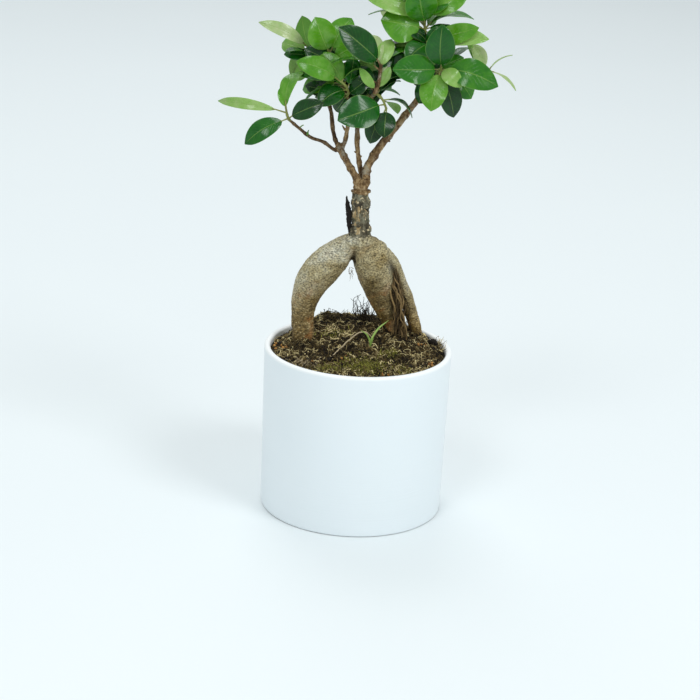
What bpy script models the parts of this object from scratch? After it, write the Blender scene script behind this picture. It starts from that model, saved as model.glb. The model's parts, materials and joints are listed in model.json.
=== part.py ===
"""An artificial fig bonsai in a ceramic pot.

The planting drops into a white cylindrical pot as one unit: a ballast disc, a foam core, a moss
mat, a cast root with two thick legs and one thin one, and a short trunk. Three bendable branches
leave the fork socket, and plug-in sprigs of leaves sit on them.
Points and sizes in the tables are in millimetres; meshes are built in metres. +X is the tree's
right, +Y its back and +Z up. The origin is the centre of the pot's foot, on the table.
"""

import math

import bmesh
import bpy
from mathutils import Vector

MM = 0.001
GAP = 0.3

# Pot and the flat pieces inside it
POT_HEIGHT = 125.3
POT_RIM_RADIUS = 70.0
POT_FOOT_RADIUS = 68.6
POT_INNER_RADIUS = 65.6
POT_FLOOR = 6.0
POT_SEGMENTS = 56
CORE_SEGMENTS = 40
RIM_ROUND = 1.8
FOOT_ROUND = 1.5
BALLAST_RADIUS = 63.0
BALLAST_HEIGHT = 14.0
CORE_RADIUS = 63.5
CORE_TOP = 104.0
MAT_RADIUS = 65.0

# Moss mat: level of its edge, and the mound between the legs
MAT_LEVEL = 120.8
MOUND_HEIGHT = 13.0
MOUND_SPREAD = 34.0
MOUND_CENTRE = (2.0, 34.0)
MAT_EDGE = 14.0

# Steel rods and wires
ROD_RADIUS = 1.5
BORE_RADIUS = 1.9
ROD_BOTTOM = 45.0
WIRE_RADIUS = 0.6
WIRE_BORE = 0.9

# Neck
CROWN_TOP = 211.2
NECK_TOP = 243.0
COLLAR_TOP = 247.3
SOCKET_TOP = 251.6

# The angle up to which a domed end follows a sphere about the bar's end point
DOME = math.radians(50)

# Leaf sections
LEAF_STATIONS = 5
PETIOLE_HALF_WIDTH = 0.7
PETIOLE_THICKNESS = 1.2
BLADE_THICKNESS = 0.8
BLADE_FOLD = 0.16

# Where the upper side of a leaf looks
UP = (0.0, 0.0, 1.0)
FRONT = (0.0, -0.9, 0.45)
BACK = (0.0, 0.9, 0.45)
LEFT = (-0.9, 0.0, 0.45)

# Joint: (the joint that carries it, its pivot)
JOINTS = {
    "tree_lift": (None, (0, 0, 7)),
    "left_branch_bend": ("tree_lift", (-7.3, -0.8, 254)),
    "low_left_twig_bend": ("left_branch_bend", (-24.8, -3.6, 275.2)),
    "mid_left_branch_bend": ("left_branch_bend", (-23.8, 0.8, 280.2)),
    "centre_branch_bend": ("tree_lift", (-4, 4.4, 254)),
    "right_branch_bend": ("tree_lift", (-0.8, -0.6, 254.4)),
    "right_top_twig_bend": ("right_branch_bend", (40.5, 11.2, 328)),
    "right_outer_sprig_bend": ("right_branch_bend", (51.2, 8, 333.5)),
}

# Cast root: each leg is a list of (x, y, z, radius)
CROWN = [
    (-3, 3, 198, 10),
    (-3, 2.5, 203, 11),
    (-3, 1.5, 208, 9.2),
    (-3.2, 0.6, CROWN_TOP, 7.2),
]
LEFT_LEG = [
    (-5, 3, 204, 9.2),
    (-14, 3, 199, 10.4),
    (-23.5, 4, 190, 12.8),
    (-31, 5, 181, 13.3),
    (-37.5, 7, 170, 12.3),
    (-41, 9, 160, 10.4),
    (-42.4, 10, 148, 8.6),
    (-42, 10, 129, 8.2),
    (-42, 10, 112, 8.8),
]
RIGHT_LEG = [
    (-1, 3, 204, 9.6),
    (5.2, 5, 194, 13.3),
    (8.7, 8, 183, 13.4),
    (11.4, 12, 174, 12.6),
    (15, 18, 160, 10),
    (19.5, 22, 148, 7.9),
    (26, 26, 132, 6.4),
    (30, 27, 112, 6.6),
]
THIN_LEG = [
    (13, 7, 203, 4.4),
    (18.4, 8, 198.5, 4.4),
    (25, 12, 188, 3.6),
    (32, 18, 172.5, 3.3),
    (38, 24, 156, 3.9),
    (42, 27, 141, 3.6),
    (45, 28, 126, 2.9),
    (46.5, 28, 112, 2.9),
]
AERIAL_RADIUS = 0.8
AERIAL_ROOTS = {
    "aerial_root_front": [
        (26, 9, 178),
        (27.5, 11, 168),
        (28.5, 14, 156),
        (30, 16.5, 144),
        (33, 17, 132.6),
    ],
    "aerial_root_rear": [
        (26.5, 19, 178),
        (29, 22, 166),
        (32, 26.5, 152),
        (36, 30, 139),
        (38, 31, 131.6),
    ],
}

# Anchor rods: x, y and the height of the top
ANCHORS = {
    "left_anchor_rod": (-42, 10, 134),
    "right_anchor_rod": (29.6, 27, 124),
    "thin_anchor_rod": (46.5, 28, 119),
}
THIN_ANCHOR_RADIUS = 0.9

# Neck: (x, y, z, radius), and the splinter that stands beside it
NECK_BOTTOM = CROWN_TOP + 0.2 + GAP
NECK_AXIS = (-3.2, 0.6)
NECK = [
    (*NECK_AXIS, NECK_BOTTOM, 7.2),
    (*NECK_AXIS, 218, 6.6),
    (-3.5, 0.3, 226, 6.5),
    (-4, 0, 234, 6.6),
    (-4.4, 0, NECK_TOP, 6.3),
]
SPLINTER = [
    (-11.2, -2.4, 218, 0.8),
    (-11.9, -2.0, 226, 1.1),
    (-12.8, -1.5, 234, 0.9),
    (-13.4, -1.2, 239.4, 0.4),
]
TRUNK_ROD_BOTTOM = 187.0
TRUNK_ROD_TOP = 237.0
COLLAR_RADIUS = 6.9
SOCKET_RADIUS = 6.1

# What grows in the mat: heights are above the mat, radii last
SPROUT = [(9, -6, 1.3, 0.8), (10.6, -5, 8.3, 0.8), (15, -3, 14.3, 0.7), (21, -1, 18.8, 0.5)]
SPROUT_LEAF = [(9, -6, 1.3, 0.8), (8, -7, 5.3, 0.8), (7.4, -7.4, 9.3, 0.5)]
ARCHING_ROOT = [
    (-16, -19, 1.4, 0.6),
    (-8, -11, 6, 0.6),
    (0, -4, 9.5, 0.6),
    (6, -1, 7, 0.6),
    (10.6, 1.4, 1.4, 0.6),
]
TUFT = [(1, 30, 1.6, 0.9), (0, 29, 6.1, 0.9), (1.5, 31, 10.6, 0.9), (-0.5, 30, 15.6, 0.9)]
CHIP = [(53, 27, 128.2, 1.9), (57, 30, 128.4, 2.1), (60.4, 32.6, 127.9, 1.6)]

# Branches: joint, points with radii
BRANCHES = {
    "left_branch": (
        "left_branch_bend",
        [
            (-7.3, -0.8, 254, 2.8),
            (-10, -1, 258, 2.6),
            (-14, -1.2, 264, 2.4),
            (-18, -1.8, 271, 2.4),
            (-20.5, -2, 276, 2.6),
        ],
    ),
    "centre_left_branch": (
        "left_branch_bend",
        [
            (-17.6, -1.6, 280.6, 1.5),
            (-16.2, -2, 291, 1.5),
            (-15.4, 0, 304, 1.4),
            (-19, 2, 317, 1.3),
            (-24.6, 2, 331, 1.2),
        ],
    ),
    "mid_left_branch": (
        "mid_left_branch_bend",
        [
            (-23.8, 0.8, 280.2, 1.6),
            (-26.4, 3, 287, 1.5),
            (-28, 6, 297, 1.4),
            (-31, 9, 309, 1.4),
            (-36, 10, 323, 1.3),
            (-43, 10, 335, 1.2),
        ],
    ),
    "centre_branch": (
        "centre_branch_bend",
        [
            (-4, 4.4, 254, 1.9),
            (-6, 5, 262, 1.8),
            (-8, 6, 274, 1.7),
            (-9, 8, 288, 1.7),
            (-7, 6, 302, 1.6),
            (-1, 0, 313.6, 1.4),
        ],
    ),
    "right_branch": (
        "right_branch_bend",
        [
            (-0.8, -0.6, 254.4, 3.0),
            (-0.4, 0.5, 262, 3.0),
            (4, 3, 271, 2.9),
            (11, 4, 282, 2.7),
            (20, 6, 294, 2.5),
            (28, 8, 305, 2.3),
            (35, 8, 316, 2.1),
            (42, 6.4, 327, 1.8),
            (46, 4.6, 333.6, 1.6),
        ],
    ),
    "right_top_twig": (
        "right_top_twig_bend",
        [
            (40.5, 11.2, 328, 1.4),
            (40.4, 14, 338, 1.3),
            (38.4, 14.5, 349, 1.2),
            (35.8, 13.2, 360, 1.1),
        ],
    ),
}
WIRED_BRANCHES = ("left_branch", "centre_branch", "right_branch")

# Short side stubs on a branch: (branch, start, end)
STUBS = [
    ("centre_left_branch", (-16.4, -2, 288), (-20, -4, 293.5)),
    ("centre_branch", (-7.5, 5.6, 271), (-10.4, 4, 273)),
    ("centre_branch", (-7.2, 5.4, 268), (-4.6, 4, 270)),
    ("right_branch", (3, 2.4, 269), (2.2, 0, 274)),
    ("right_branch", (12, 4.2, 283), (15.4, 2.4, 282)),
]

# Sprigs: joint, stem points with radii, and leaves. A leaf is its place along the stem from 0 to
# 1, azimuth and lift of its midrib in degrees, length, width, the side it faces and its droop.
SPRIGS = {
    "low_left_twig": (
        "low_left_twig_bend",
        [
            (-24.8, -3.6, 275.2, 1.3),
            (-32, -8, 281, 1.2),
            (-43, -12, 286, 1.2),
            (-51, -15, 293, 1.1),
            (-57, -17.6, 298, 1.0),
        ],
        [(0.5, -100, 50, 7, 3, LEFT, 0.1), (0.72, 40, 30, 4, 2, UP, 0.0)],
    ),
    "low_left_sprig": (
        "low_left_twig_bend",
        [(-58.4, -18.3, 300, 1.0), (-59.4, -18.7, 303, 0.9), (-60, -19, 306, 0.7)],
        [
            (0.15, -163, -30, 34, 13, FRONT, 0.14),
            (0.70, 166, 2, 49, 13, FRONT, 0.12),
            (1.00, 125, 60, 15, 7, LEFT, 0.1),
            (0.85, 60, 50, 30, 9, LEFT, 0.28),
            (0.05, -20, 30, 28, 13, FRONT, 0.12),
        ],
    ),
    "left_outer_sprig": (
        "mid_left_branch_bend",
        [(-44, 10, 337.4, 1.0), (-45.2, 9.6, 341, 0.9), (-46.6, 9, 345, 0.7)],
        [
            (1.00, -166, 28, 38, 13, FRONT, 0.14),
            (0.80, 144, 6, 25, 11, FRONT, 0.1),
            (0.45, -150, 12, 20, 9, UP, 0.12),
            (0.20, 150, -36, 21, 13, BACK, 0.1),
            (0.90, 112, 50, 26, 14, BACK, 0.12),
        ],
    ),
    "left_top_sprig": (
        "left_branch_bend",
        [(-26, 2, 333.4, 1.1), (-29, 2, 338, 1.0), (-32, 1, 343, 0.9), (-33, 2, 347, 0.7)],
        [
            (0.75, -150, 66, 27, 19, FRONT, 0.12),
            (1.00, 105, 56, 20, 10, FRONT, 0.1),
            (0.70, 44, 49, 30, 15, FRONT, 0.12),
            (0.60, 98, 30, 26, 15, UP, 0.12),
            (0.30, -168, 26, 22, 14, FRONT, 0.12),
        ],
    ),
    "left_front_sprig": (
        "left_branch_bend",
        [(-17.4, -1.6, 314, 1.0), (-17, -5, 319, 0.9), (-20, -8, 324, 0.9), (-24, -9, 327, 0.7)],
        [
            (0.95, -163, 24, 33, 14, FRONT, 0.2),
            (1.00, 158, 6, 28, 10, UP, 0.12),
            (0.80, 150, -16, 33, 13, FRONT, 0.1),
            (0.60, 172, -24, 30, 11, UP, 0.12),
            (0.45, -146, -22, 24, 16, FRONT, 0.12),
            (0.20, 140, -52, 17, 11, FRONT, 0.1),
            (0.70, 70, 12, 17, 11, UP, 0.1),
        ],
    ),
    "hero_sprig": (
        "centre_branch_bend",
        [(3.4, -7.2, 321.6, 1.0), (5, -7, 330, 0.9), (5.4, -7.4, 339, 0.7)],
        [
            (1.00, -152, 40, 42, 21, FRONT, 0.1),
            (0.95, 124, 42, 27, 15, FRONT, 0.1),
            (0.80, -168, 10, 34, 11, UP, 0.14),
            (0.06, -160, 52, 20, 7, FRONT, 0.05),
            (0.15, 20, 60, 18, 7, FRONT, 0.05),
        ],
    ),
    "centre_sprig": (
        "centre_branch_bend",
        [(-0.6, -1, 315.2, 1.1), (3.4, -7, 318, 1.0), (8, -11, 315, 0.9), (11, -12, 309, 0.7)],
        [
            (0.85, -151, -14, 36, 22, FRONT, 0.12),
            (1.00, -92, -52, 21, 14, FRONT, 0.1),
            (0.98, -147, -64, 26, 13, FRONT, 0.1),
            (0.70, -8, -24, 23, 12, UP, 0.2),
            (0.35, 40, 22, 22, 10, UP, 0.1),
            (0.75, 50, -30, 19, 9, UP, 0.1),
        ],
    ),
    "right_hero_sprig": (
        "right_branch_bend",
        [(47.2, 3.0, 336.2, 1.1), (47.6, 0, 337, 1.0), (48, -4, 337.4, 0.8)],
        [
            (1.00, -95, 70, 34, 19, FRONT, 0.1),
            (0.85, -156, 2, 35, 19, FRONT, 0.12),
            (1.00, -43, -22, 21, 11, FRONT, 0.2),
            (0.60, -22, -8, 42, 19, FRONT, 0.18),
            (0.95, -108, -56, 30, 18, FRONT, 0.1),
            (0.50, -12, -70, 34, 15, FRONT, 0.14),
            (0.25, 169, -62, 28, 13, FRONT, 0.12),
        ],
    ),
    "right_mid_sprig": (
        "right_top_twig_bend",
        [(37.6, 11.9, 346.6, 1.0), (38.4, 10.4, 350, 0.9), (38.8, 9.6, 354, 0.7)],
        [
            (0.50, -174, 4, 23, 12, FRONT, 0.12),
            (0.20, -178, -18, 24, 16, FRONT, 0.1),
            (0.95, -132, -24, 24, 15, FRONT, 0.1),
            (0.30, -160, -9, 32, 12, UP, 0.14),
            (0.10, -166, -32, 33, 16, FRONT, 0.12),
            (0.70, -14, 12, 42, 12, FRONT, 0.14),
            (1.00, -20, 22, 37, 13, FRONT, 0.12),
        ],
    ),
    "right_top_sprig": (
        "right_top_twig_bend",
        [(35.4, 12.8, 362.2, 1.0), (35.1, 12.4, 366, 0.9), (34.8, 12, 371, 0.8)],
        [
            (1.00, -169, 18, 42, 10, FRONT, 0.1),
            (0.50, -118, 66, 31, 21, FRONT, 0.1),
            (0.95, 6, 38, 36, 16, FRONT, 0.12),
            (0.05, -166, 12, 31, 26, FRONT, 0.12),
            (0.10, 8, 16, 34, 15, UP, 0.16),
            (0.40, -174, 10, 39, 9, UP, 0.16),
            (0.70, 158, 8, 33, 12, FRONT, 0.12),
            (0.60, 70, 25, 30, 15, UP, 0.14),
        ],
    ),
    "apex_sprig": (
        "right_top_twig_bend",
        [(34.5, 12.4, 373.4, 0.8), (33.6, 13.4, 381, 0.8), (33, 14, 388, 0.7)],
        [
            (0.30, -170, 44, 27, 15, FRONT, 0.14),
            (0.40, 30, 42, 28, 15, FRONT, 0.14),
            (0.50, 110, 38, 29, 16, UP, 0.16),
            (0.80, -70, 52, 24, 14, FRONT, 0.12),
            (1.00, 160, 62, 23, 12, FRONT, 0.1),
            (1.00, -10, 68, 22, 9, FRONT, 0.08),
        ],
    ),
    "right_outer_sprig": (
        "right_outer_sprig_bend",
        [(51.2, 8, 333.5, 1.1), (58, 9.5, 334, 1.0), (70, 11.5, 337.5, 0.9), (83, 12, 335.5, 0.7)],
        [
            (0.20, -16, -42, 24, 15, FRONT, 0.14),
            (0.18, 32, 34, 28, 12, UP, 0.2),
            (0.82, 158, 66, 25, 4, FRONT, 0.05),
            (0.97, 168, 58, 20, 9, FRONT, 0.12),
            (1.00, -17, -27, 23, 5, UP, 0.1),
            (1.00, -17, 40, 20, 5, UP, 0.1),
        ],
    ),
    "left_rear_sprig": (
        "left_branch_bend",
        [(-25.6, 5, 331, 1.0), (-27, 12, 335, 0.9), (-29, 19, 339, 0.7)],
        [
            (0.90, 158, -16, 27, 15, UP, 0.16),
            (0.70, 80, 34, 30, 17, BACK, 0.14),
            (1.00, 128, 46, 28, 15, BACK, 0.12),
            (0.90, 50, 6, 28, 15, UP, 0.16),
            (0.80, 104, -30, 27, 15, BACK, 0.14),
        ],
    ),
    "centre_rear_sprig": (
        "centre_branch_bend",
        [(-7.4, 9.4, 302, 1.0), (-5, 17, 309, 0.9), (-2, 23, 315, 0.7)],
        [
            (0.50, 152, 0, 26, 15, UP, 0.16),
            (0.80, -50, 50, 24, 15, FRONT, 0.1),
            (0.60, 10, 6, 24, 13, UP, 0.16),
            (1.00, 86, 38, 30, 17, BACK, 0.12),
            (1.00, 56, -8, 27, 14, BACK, 0.14),
            (0.80, 112, -38, 25, 14, BACK, 0.12),
            (1.00, 118, 62, 24, 13, BACK, 0.1),
        ],
    ),
    "right_rear_sprig": (
        "right_branch_bend",
        [(36.4, 12, 315.6, 1.0), (41, 19, 321, 0.9), (45, 26, 327, 0.7)],
        [
            (0.40, 60, -26, 27, 14, BACK, 0.14),
            (0.60, -6, 2, 28, 15, UP, 0.16),
            (0.80, 96, 32, 30, 17, BACK, 0.14),
            (1.00, 44, 14, 30, 15, BACK, 0.14),
            (1.00, 118, -12, 27, 14, UP, 0.14),
            (0.90, 150, 20, 26, 14, UP, 0.14),
        ],
    ),
}


def clear_scene():
    for obj in list(bpy.data.objects):
        bpy.data.objects.remove(obj)


def material(name, colour, roughness, metallic=0.0):
    made = bpy.data.materials.new(name)
    made.use_nodes = True
    shader = made.node_tree.nodes["Principled BSDF"]
    shader.inputs["Base Color"].default_value = (*colour, 1.0)
    shader.inputs["Roughness"].default_value = roughness
    shader.inputs["Metallic"].default_value = metallic
    made.diffuse_color = (*colour, 1.0)
    return made


def make_materials():
    return {
        "glazed_ceramic": material("glazed_ceramic", (0.80, 0.85, 0.88), 0.42),
        "cement": material("cement", (0.42, 0.41, 0.39), 0.9),
        "foam": material("foam", (0.10, 0.16, 0.07), 0.95),
        "moss": material("moss", (0.07, 0.05, 0.02), 0.95),
        "root": material("root", (0.30, 0.24, 0.15), 0.7),
        "bark": material("bark", (0.14, 0.11, 0.07), 0.85),
        "twig": material("twig", (0.30, 0.21, 0.11), 0.75),
        "steel": material("steel", (0.55, 0.55, 0.56), 0.35, 1.0),
        "leaf": material("leaf", (0.06, 0.20, 0.02), 0.35),
        "sprout": material("sprout", (0.35, 0.50, 0.12), 0.5),
    }


def joint_empties():
    """One empty on each joint's pivot, each parented to the empty that carries it."""
    made = {}
    for name, (carrier, pivot) in JOINTS.items():
        empty = bpy.data.objects.new(name, None)
        empty.empty_display_size = 10 * MM
        bpy.context.scene.collection.objects.link(empty)
        origin = Vector(pivot) * MM
        if carrier:
            empty.parent = made[carrier]
            origin = origin - Vector(JOINTS[carrier][1]) * MM
        empty.location = origin
        made[name] = empty
    return made


def add_object(name, mesh_in_mm, surface, joint=None, helper=False):
    """The bmesh, in millimetres, as an object whose origin is its joint's pivot."""
    pivot = Vector(JOINTS[joint][1]) if joint else Vector()
    for vertex in mesh_in_mm.verts:
        vertex.co = (vertex.co - pivot) * MM
    bmesh.ops.recalc_face_normals(mesh_in_mm, faces=mesh_in_mm.faces)
    mesh = bpy.data.meshes.new(name)
    mesh_in_mm.to_mesh(mesh)
    mesh_in_mm.free()
    mesh.shade_smooth()
    mesh.set_sharp_from_angle(angle=math.radians(40))
    obj = bpy.data.objects.new(name, mesh)
    bpy.context.scene.collection.objects.link(obj)
    if surface:
        mesh.materials.append(surface)
    if joint:
        obj.parent = EMPTIES[joint]
    if helper:
        obj.hide_render = True
        obj.display_type = "WIRE"
    return obj


def boolean(obj, operation, helpers):
    """One exact Boolean against a collection of helper objects."""
    group = bpy.data.collections.new(f"{obj.name}_{operation.lower()}")
    for helper in helpers:
        group.objects.link(helper)
    modifier = obj.modifiers.new(operation.title(), "BOOLEAN")
    modifier.operation = operation
    modifier.operand_type = "COLLECTION"
    modifier.collection = group
    modifier.solver = "EXACT"


def turned(profile, segments):
    """A solid of revolution about Z. The profile of (radius, z) starts and ends on the axis."""
    bm = bmesh.new()
    rings = []
    for radius, z in profile:
        if radius == 0:
            rings.append([bm.verts.new((0, 0, z))])
            continue
        angles = [2 * math.pi * i / segments for i in range(segments)]
        rings.append([bm.verts.new((radius * math.cos(a), radius * math.sin(a), z)) for a in angles])
    join_rings(bm, rings)
    return bm


def join_rings(bm, rings):
    """Side faces between rings of vertices. A ring of one vertex is a pole."""
    for low, high in zip(rings, rings[1:]):
        count = max(len(low), len(high))
        for i in range(count):
            j = (i + 1) % count
            if len(low) == 1:
                bm.faces.new((low[0], high[j], high[i]))
            elif len(high) == 1:
                bm.faces.new((low[i], low[j], high[0]))
            else:
                bm.faces.new((low[i], low[j], high[j], high[i]))


def arc(centre_r, centre_z, radius, start, end, steps):
    """Profile points on an arc, with angles in degrees."""
    points = []
    for i in range(steps + 1):
        angle = math.radians(start + (end - start) * i / steps)
        points.append((centre_r + radius * math.cos(angle), centre_z + radius * math.sin(angle)))
    return points


def smooth_path(points, per_span=3):
    """Catmull-Rom points, with radii as the fourth value, through the given ones."""
    knots = [Vector(p) for p in points]
    ends = [2 * knots[0] - knots[1], *knots, 2 * knots[-1] - knots[-2]]
    path = []
    for i in range(1, len(ends) - 2):
        a, b, c, d = ends[i - 1 : i + 3]
        for step in range(per_span):
            t = step / per_span
            bend = (2 * a - 5 * b + 4 * c - d) * t * t + (3 * b - 3 * c + d - a) * t**3
            path.append((2 * b + (c - a) * t + bend) / 2)
    path.append(knots[-1])
    return path


def section_frames(path):
    """(point, side, up, along) at each point of a path. The sections are turned as little as possible."""
    centres = [p.to_3d() for p in path]
    frames = []
    side = None
    for i, centre in enumerate(centres):
        ahead = centres[min(i + 1, len(centres) - 1)]
        behind = centres[max(i - 1, 0)]
        along = (ahead - behind).normalized()
        if side is None:
            side = along.cross(Vector((0, 1, 0))) if abs(along.y) < 0.9 else along.cross(Vector((1, 0, 0)))
        side = (side - along * side.dot(along)).normalized()
        frames.append((centre, side, along.cross(side), along))
    return frames


def tube(points, sides=8, per_span=3, domed=True):
    """A tapering round bar along (x, y, z, radius) points, with domed or flat ends."""
    path = smooth_path(points, per_span)
    frames = section_frames(path)
    bm = bmesh.new()
    angles = [2 * math.pi * i / sides for i in range(sides)]

    def ring(frame, radius, shift=0.0):
        centre, side, up, along = frame
        middle = centre + along * shift
        return [bm.verts.new(middle + (side * math.cos(a) + up * math.sin(a)) * radius) for a in angles]

    rings = [ring(frame, point.w) for frame, point in zip(frames, path)]
    if domed:
        first, last = path[0].w, path[-1].w
        rings.insert(0, ring(frames[0], first * math.cos(DOME), -first * math.sin(DOME)))
        rings.append(ring(frames[-1], last * math.cos(DOME), last * math.sin(DOME)))
    join_rings(bm, rings)
    bm.faces.new(rings[0])
    bm.faces.new(rings[-1])
    return bm


def rod(x, y, bottom, top, radius, sides=10):
    """An upright round bar."""
    bm = bmesh.new()
    angles = [2 * math.pi * i / sides for i in range(sides)]
    rings = []
    for z in (bottom, top):
        circle = [(x + radius * math.cos(a), y + radius * math.sin(a), z) for a in angles]
        rings.append([bm.verts.new(point) for point in circle])
    join_rings(bm, rings)
    bm.faces.new(rings[0])
    bm.faces.new(rings[1])
    return bm


def blade_half_width(s, width, petiole):
    """Half the leaf's width at s from 0 at the stem to 1 at the tip."""
    if s <= petiole:
        return PETIOLE_HALF_WIDTH
    t = (s - petiole) / (1 - petiole)
    oval = math.sin(math.pi * t**0.92) ** 0.6 if t < 1 else 0.0
    return max(0.5 * width * oval, 0.45)


def leaf(base, azimuth, lift, length, width, faces_to, droop):
    """A leaf as a closed, slightly folded and arched blade, thickest along its midrib."""
    petiole = 0.14
    a, e = math.radians(azimuth), math.radians(lift)
    along = Vector((math.cos(a) * math.cos(e), math.sin(a) * math.cos(e), math.sin(e)))
    normal = Vector(faces_to)
    normal = (normal - along * normal.dot(along)).normalized()
    side = along.cross(normal)
    blade = 1 - petiole
    stations = [0.0, petiole]
    stations += [petiole + blade * k / LEAF_STATIONS for k in range(1, LEAF_STATIONS + 1)]
    bm = bmesh.new()
    rings = []
    for s in stations:
        half = blade_half_width(s, width, petiole)
        thick = PETIOLE_THICKNESS if s <= petiole else BLADE_THICKNESS
        rise = 4 * droop * length * s * (1 - s)
        middle = base + along * length * s + normal * rise
        edge = normal * (BLADE_FOLD * half)
        corners = (middle - side * half + edge, middle - normal * thick / 2)
        corners += (middle + side * half + edge, middle + normal * thick / 2)
        rings.append([bm.verts.new(corner) for corner in corners])
    join_rings(bm, rings)
    bm.faces.new(rings[0])
    bm.faces.new(rings[-1])
    return bm


def point_along(path, t):
    place = t * (len(path) - 1)
    i = min(int(place), len(path) - 2)
    return path[i].lerp(path[i + 1], place - i).to_3d()


def make_pot(surface):
    inner_floor_round = 4.0
    profile = [(0, 0)]
    profile += arc(POT_FOOT_RADIUS - FOOT_ROUND, FOOT_ROUND, FOOT_ROUND, -90, 0, 2)
    profile += arc(POT_RIM_RADIUS - RIM_ROUND, POT_HEIGHT - RIM_ROUND, RIM_ROUND, 0, 90, 3)
    profile += arc(POT_INNER_RADIUS + RIM_ROUND, POT_HEIGHT - RIM_ROUND, RIM_ROUND, 90, 180, 3)
    corner_z = POT_FLOOR + inner_floor_round
    profile += arc(POT_INNER_RADIUS - inner_floor_round, corner_z, inner_floor_round, 0, -90, 2)
    profile.append((0, POT_FLOOR))
    add_object("pot", turned(profile, POT_SEGMENTS), surface)


def make_core(surfaces):
    ballast_bottom = POT_FLOOR + GAP
    ballast_top = ballast_bottom + BALLAST_HEIGHT
    bevel = 5.0
    ballast = [
        (0, ballast_bottom),
        (BALLAST_RADIUS - bevel, ballast_bottom),
        (BALLAST_RADIUS, ballast_bottom + bevel),
        (BALLAST_RADIUS, ballast_top),
        (0, ballast_top),
    ]
    add_object("ballast_disc", turned(ballast, CORE_SEGMENTS), surfaces["cement"], "tree_lift")
    bottom = ballast_top + GAP
    core = [(0, bottom), (CORE_RADIUS, bottom), (CORE_RADIUS, CORE_TOP), (0, CORE_TOP)]
    foam = add_object("foam_core", turned(core, CORE_SEGMENTS), surfaces["foam"], "tree_lift")
    bores = []
    for name, (x, y, top) in ANCHORS.items():
        bores.append(anchor_bore(name, ROD_BOTTOM - GAP, CORE_TOP + 2))
        anchor = rod(x, y, ROD_BOTTOM, top, anchor_radius(name))
        add_object(name, anchor, surfaces["steel"], "tree_lift")
    boolean(foam, "DIFFERENCE", bores)


def anchor_radius(name):
    return THIN_ANCHOR_RADIUS if name == "thin_anchor_rod" else ROD_RADIUS


def rod_bore(name, x, y, bottom, top, radius):
    bore = rod(x, y, bottom, top, radius)
    return add_object(f"{name}_bore_{round(bottom)}", bore, None, "tree_lift", True)


def anchor_bore(name, bottom, top):
    x, y, _ = ANCHORS[name]
    return rod_bore(name, x, y, bottom, top, anchor_radius(name) + BORE_RADIUS - ROD_RADIUS)


def mat_height(x, y):
    """The moss mat's upper surface, which mounds between the legs and dips to the rim."""
    dx, dy = x - MOUND_CENTRE[0], y - MOUND_CENTRE[1]
    mound = MOUND_HEIGHT * math.exp(-(dx * dx + dy * dy) / (2 * MOUND_SPREAD**2))
    inside = min(max((MAT_RADIUS - math.hypot(x, y)) / MAT_EDGE, 0.0), 1.0)
    return MAT_LEVEL + mound * inside * inside * (3 - 2 * inside)


def make_mat(surface):
    segments = 36
    pocket_gap = 0.6
    bm = bmesh.new()
    bottom = CORE_TOP + GAP
    rings = [[bm.verts.new((0, 0, mat_height(0, 0)))]]
    for radius in (11, 22, 33, 43, 52, 59, MAT_RADIUS):
        ring = []
        for i in range(segments):
            angle = 2 * math.pi * i / segments
            x, y = radius * math.cos(angle), radius * math.sin(angle)
            ring.append(bm.verts.new((x, y, mat_height(x, y))))
        rings.append(ring)
    rings.append([bm.verts.new((v.co.x, v.co.y, bottom)) for v in rings[-1]])
    rings.append([bm.verts.new((0, 0, bottom))])
    join_rings(bm, rings)
    mat = add_object("moss_mat", bm, surface, "tree_lift")
    pockets = []
    for name, leg in (("left", LEFT_LEG), ("right", RIGHT_LEG), ("thin", THIN_LEG)):
        foot = [(x, y, z, radius + pocket_gap) for x, y, z, radius in leg[-4:]]
        x, y, z, radius = foot[-1]
        foot[-1] = (x, y, z - 0.2, radius)
        pocket = add_object(f"{name}_pocket", tube(foot, 12), None, "tree_lift", True)
        pockets.append(pocket)
    pockets += [anchor_bore(name, bottom - 2, 116) for name in ANCHORS]
    boolean(mat, "DIFFERENCE", pockets)


def make_root(surfaces):
    root = add_object("cast_root", tube(CROWN, 14, 2), surfaces["root"], "tree_lift")
    parts = []
    for name, leg, sides in (("left", LEFT_LEG, 14), ("right", RIGHT_LEG, 14), ("thin", THIN_LEG, 8)):
        parts.append(add_object(f"{name}_leg", tube(leg, sides, 2), None, "tree_lift", True))
    boolean(root, "UNION", parts)
    bores = [rod_bore("crown", *NECK_AXIS, TRUNK_ROD_BOTTOM - 1, CROWN_TOP + 9, BORE_RADIUS)]
    bores += [anchor_bore(name, 96, top + GAP) for name, (_, _, top) in ANCHORS.items()]
    above = rod(*NECK_AXIS, CROWN_TOP + 0.2, CROWN_TOP + 20, 16, 20)
    bores.append(add_object("crown_face", above, None, "tree_lift", True))
    boolean(root, "DIFFERENCE", bores)
    for name, points in AERIAL_ROOTS.items():
        strand = [(*point, AERIAL_RADIUS) for point in points]
        add_object(name, tube(strand, 5, 2), surfaces["root"], "tree_lift")


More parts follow.
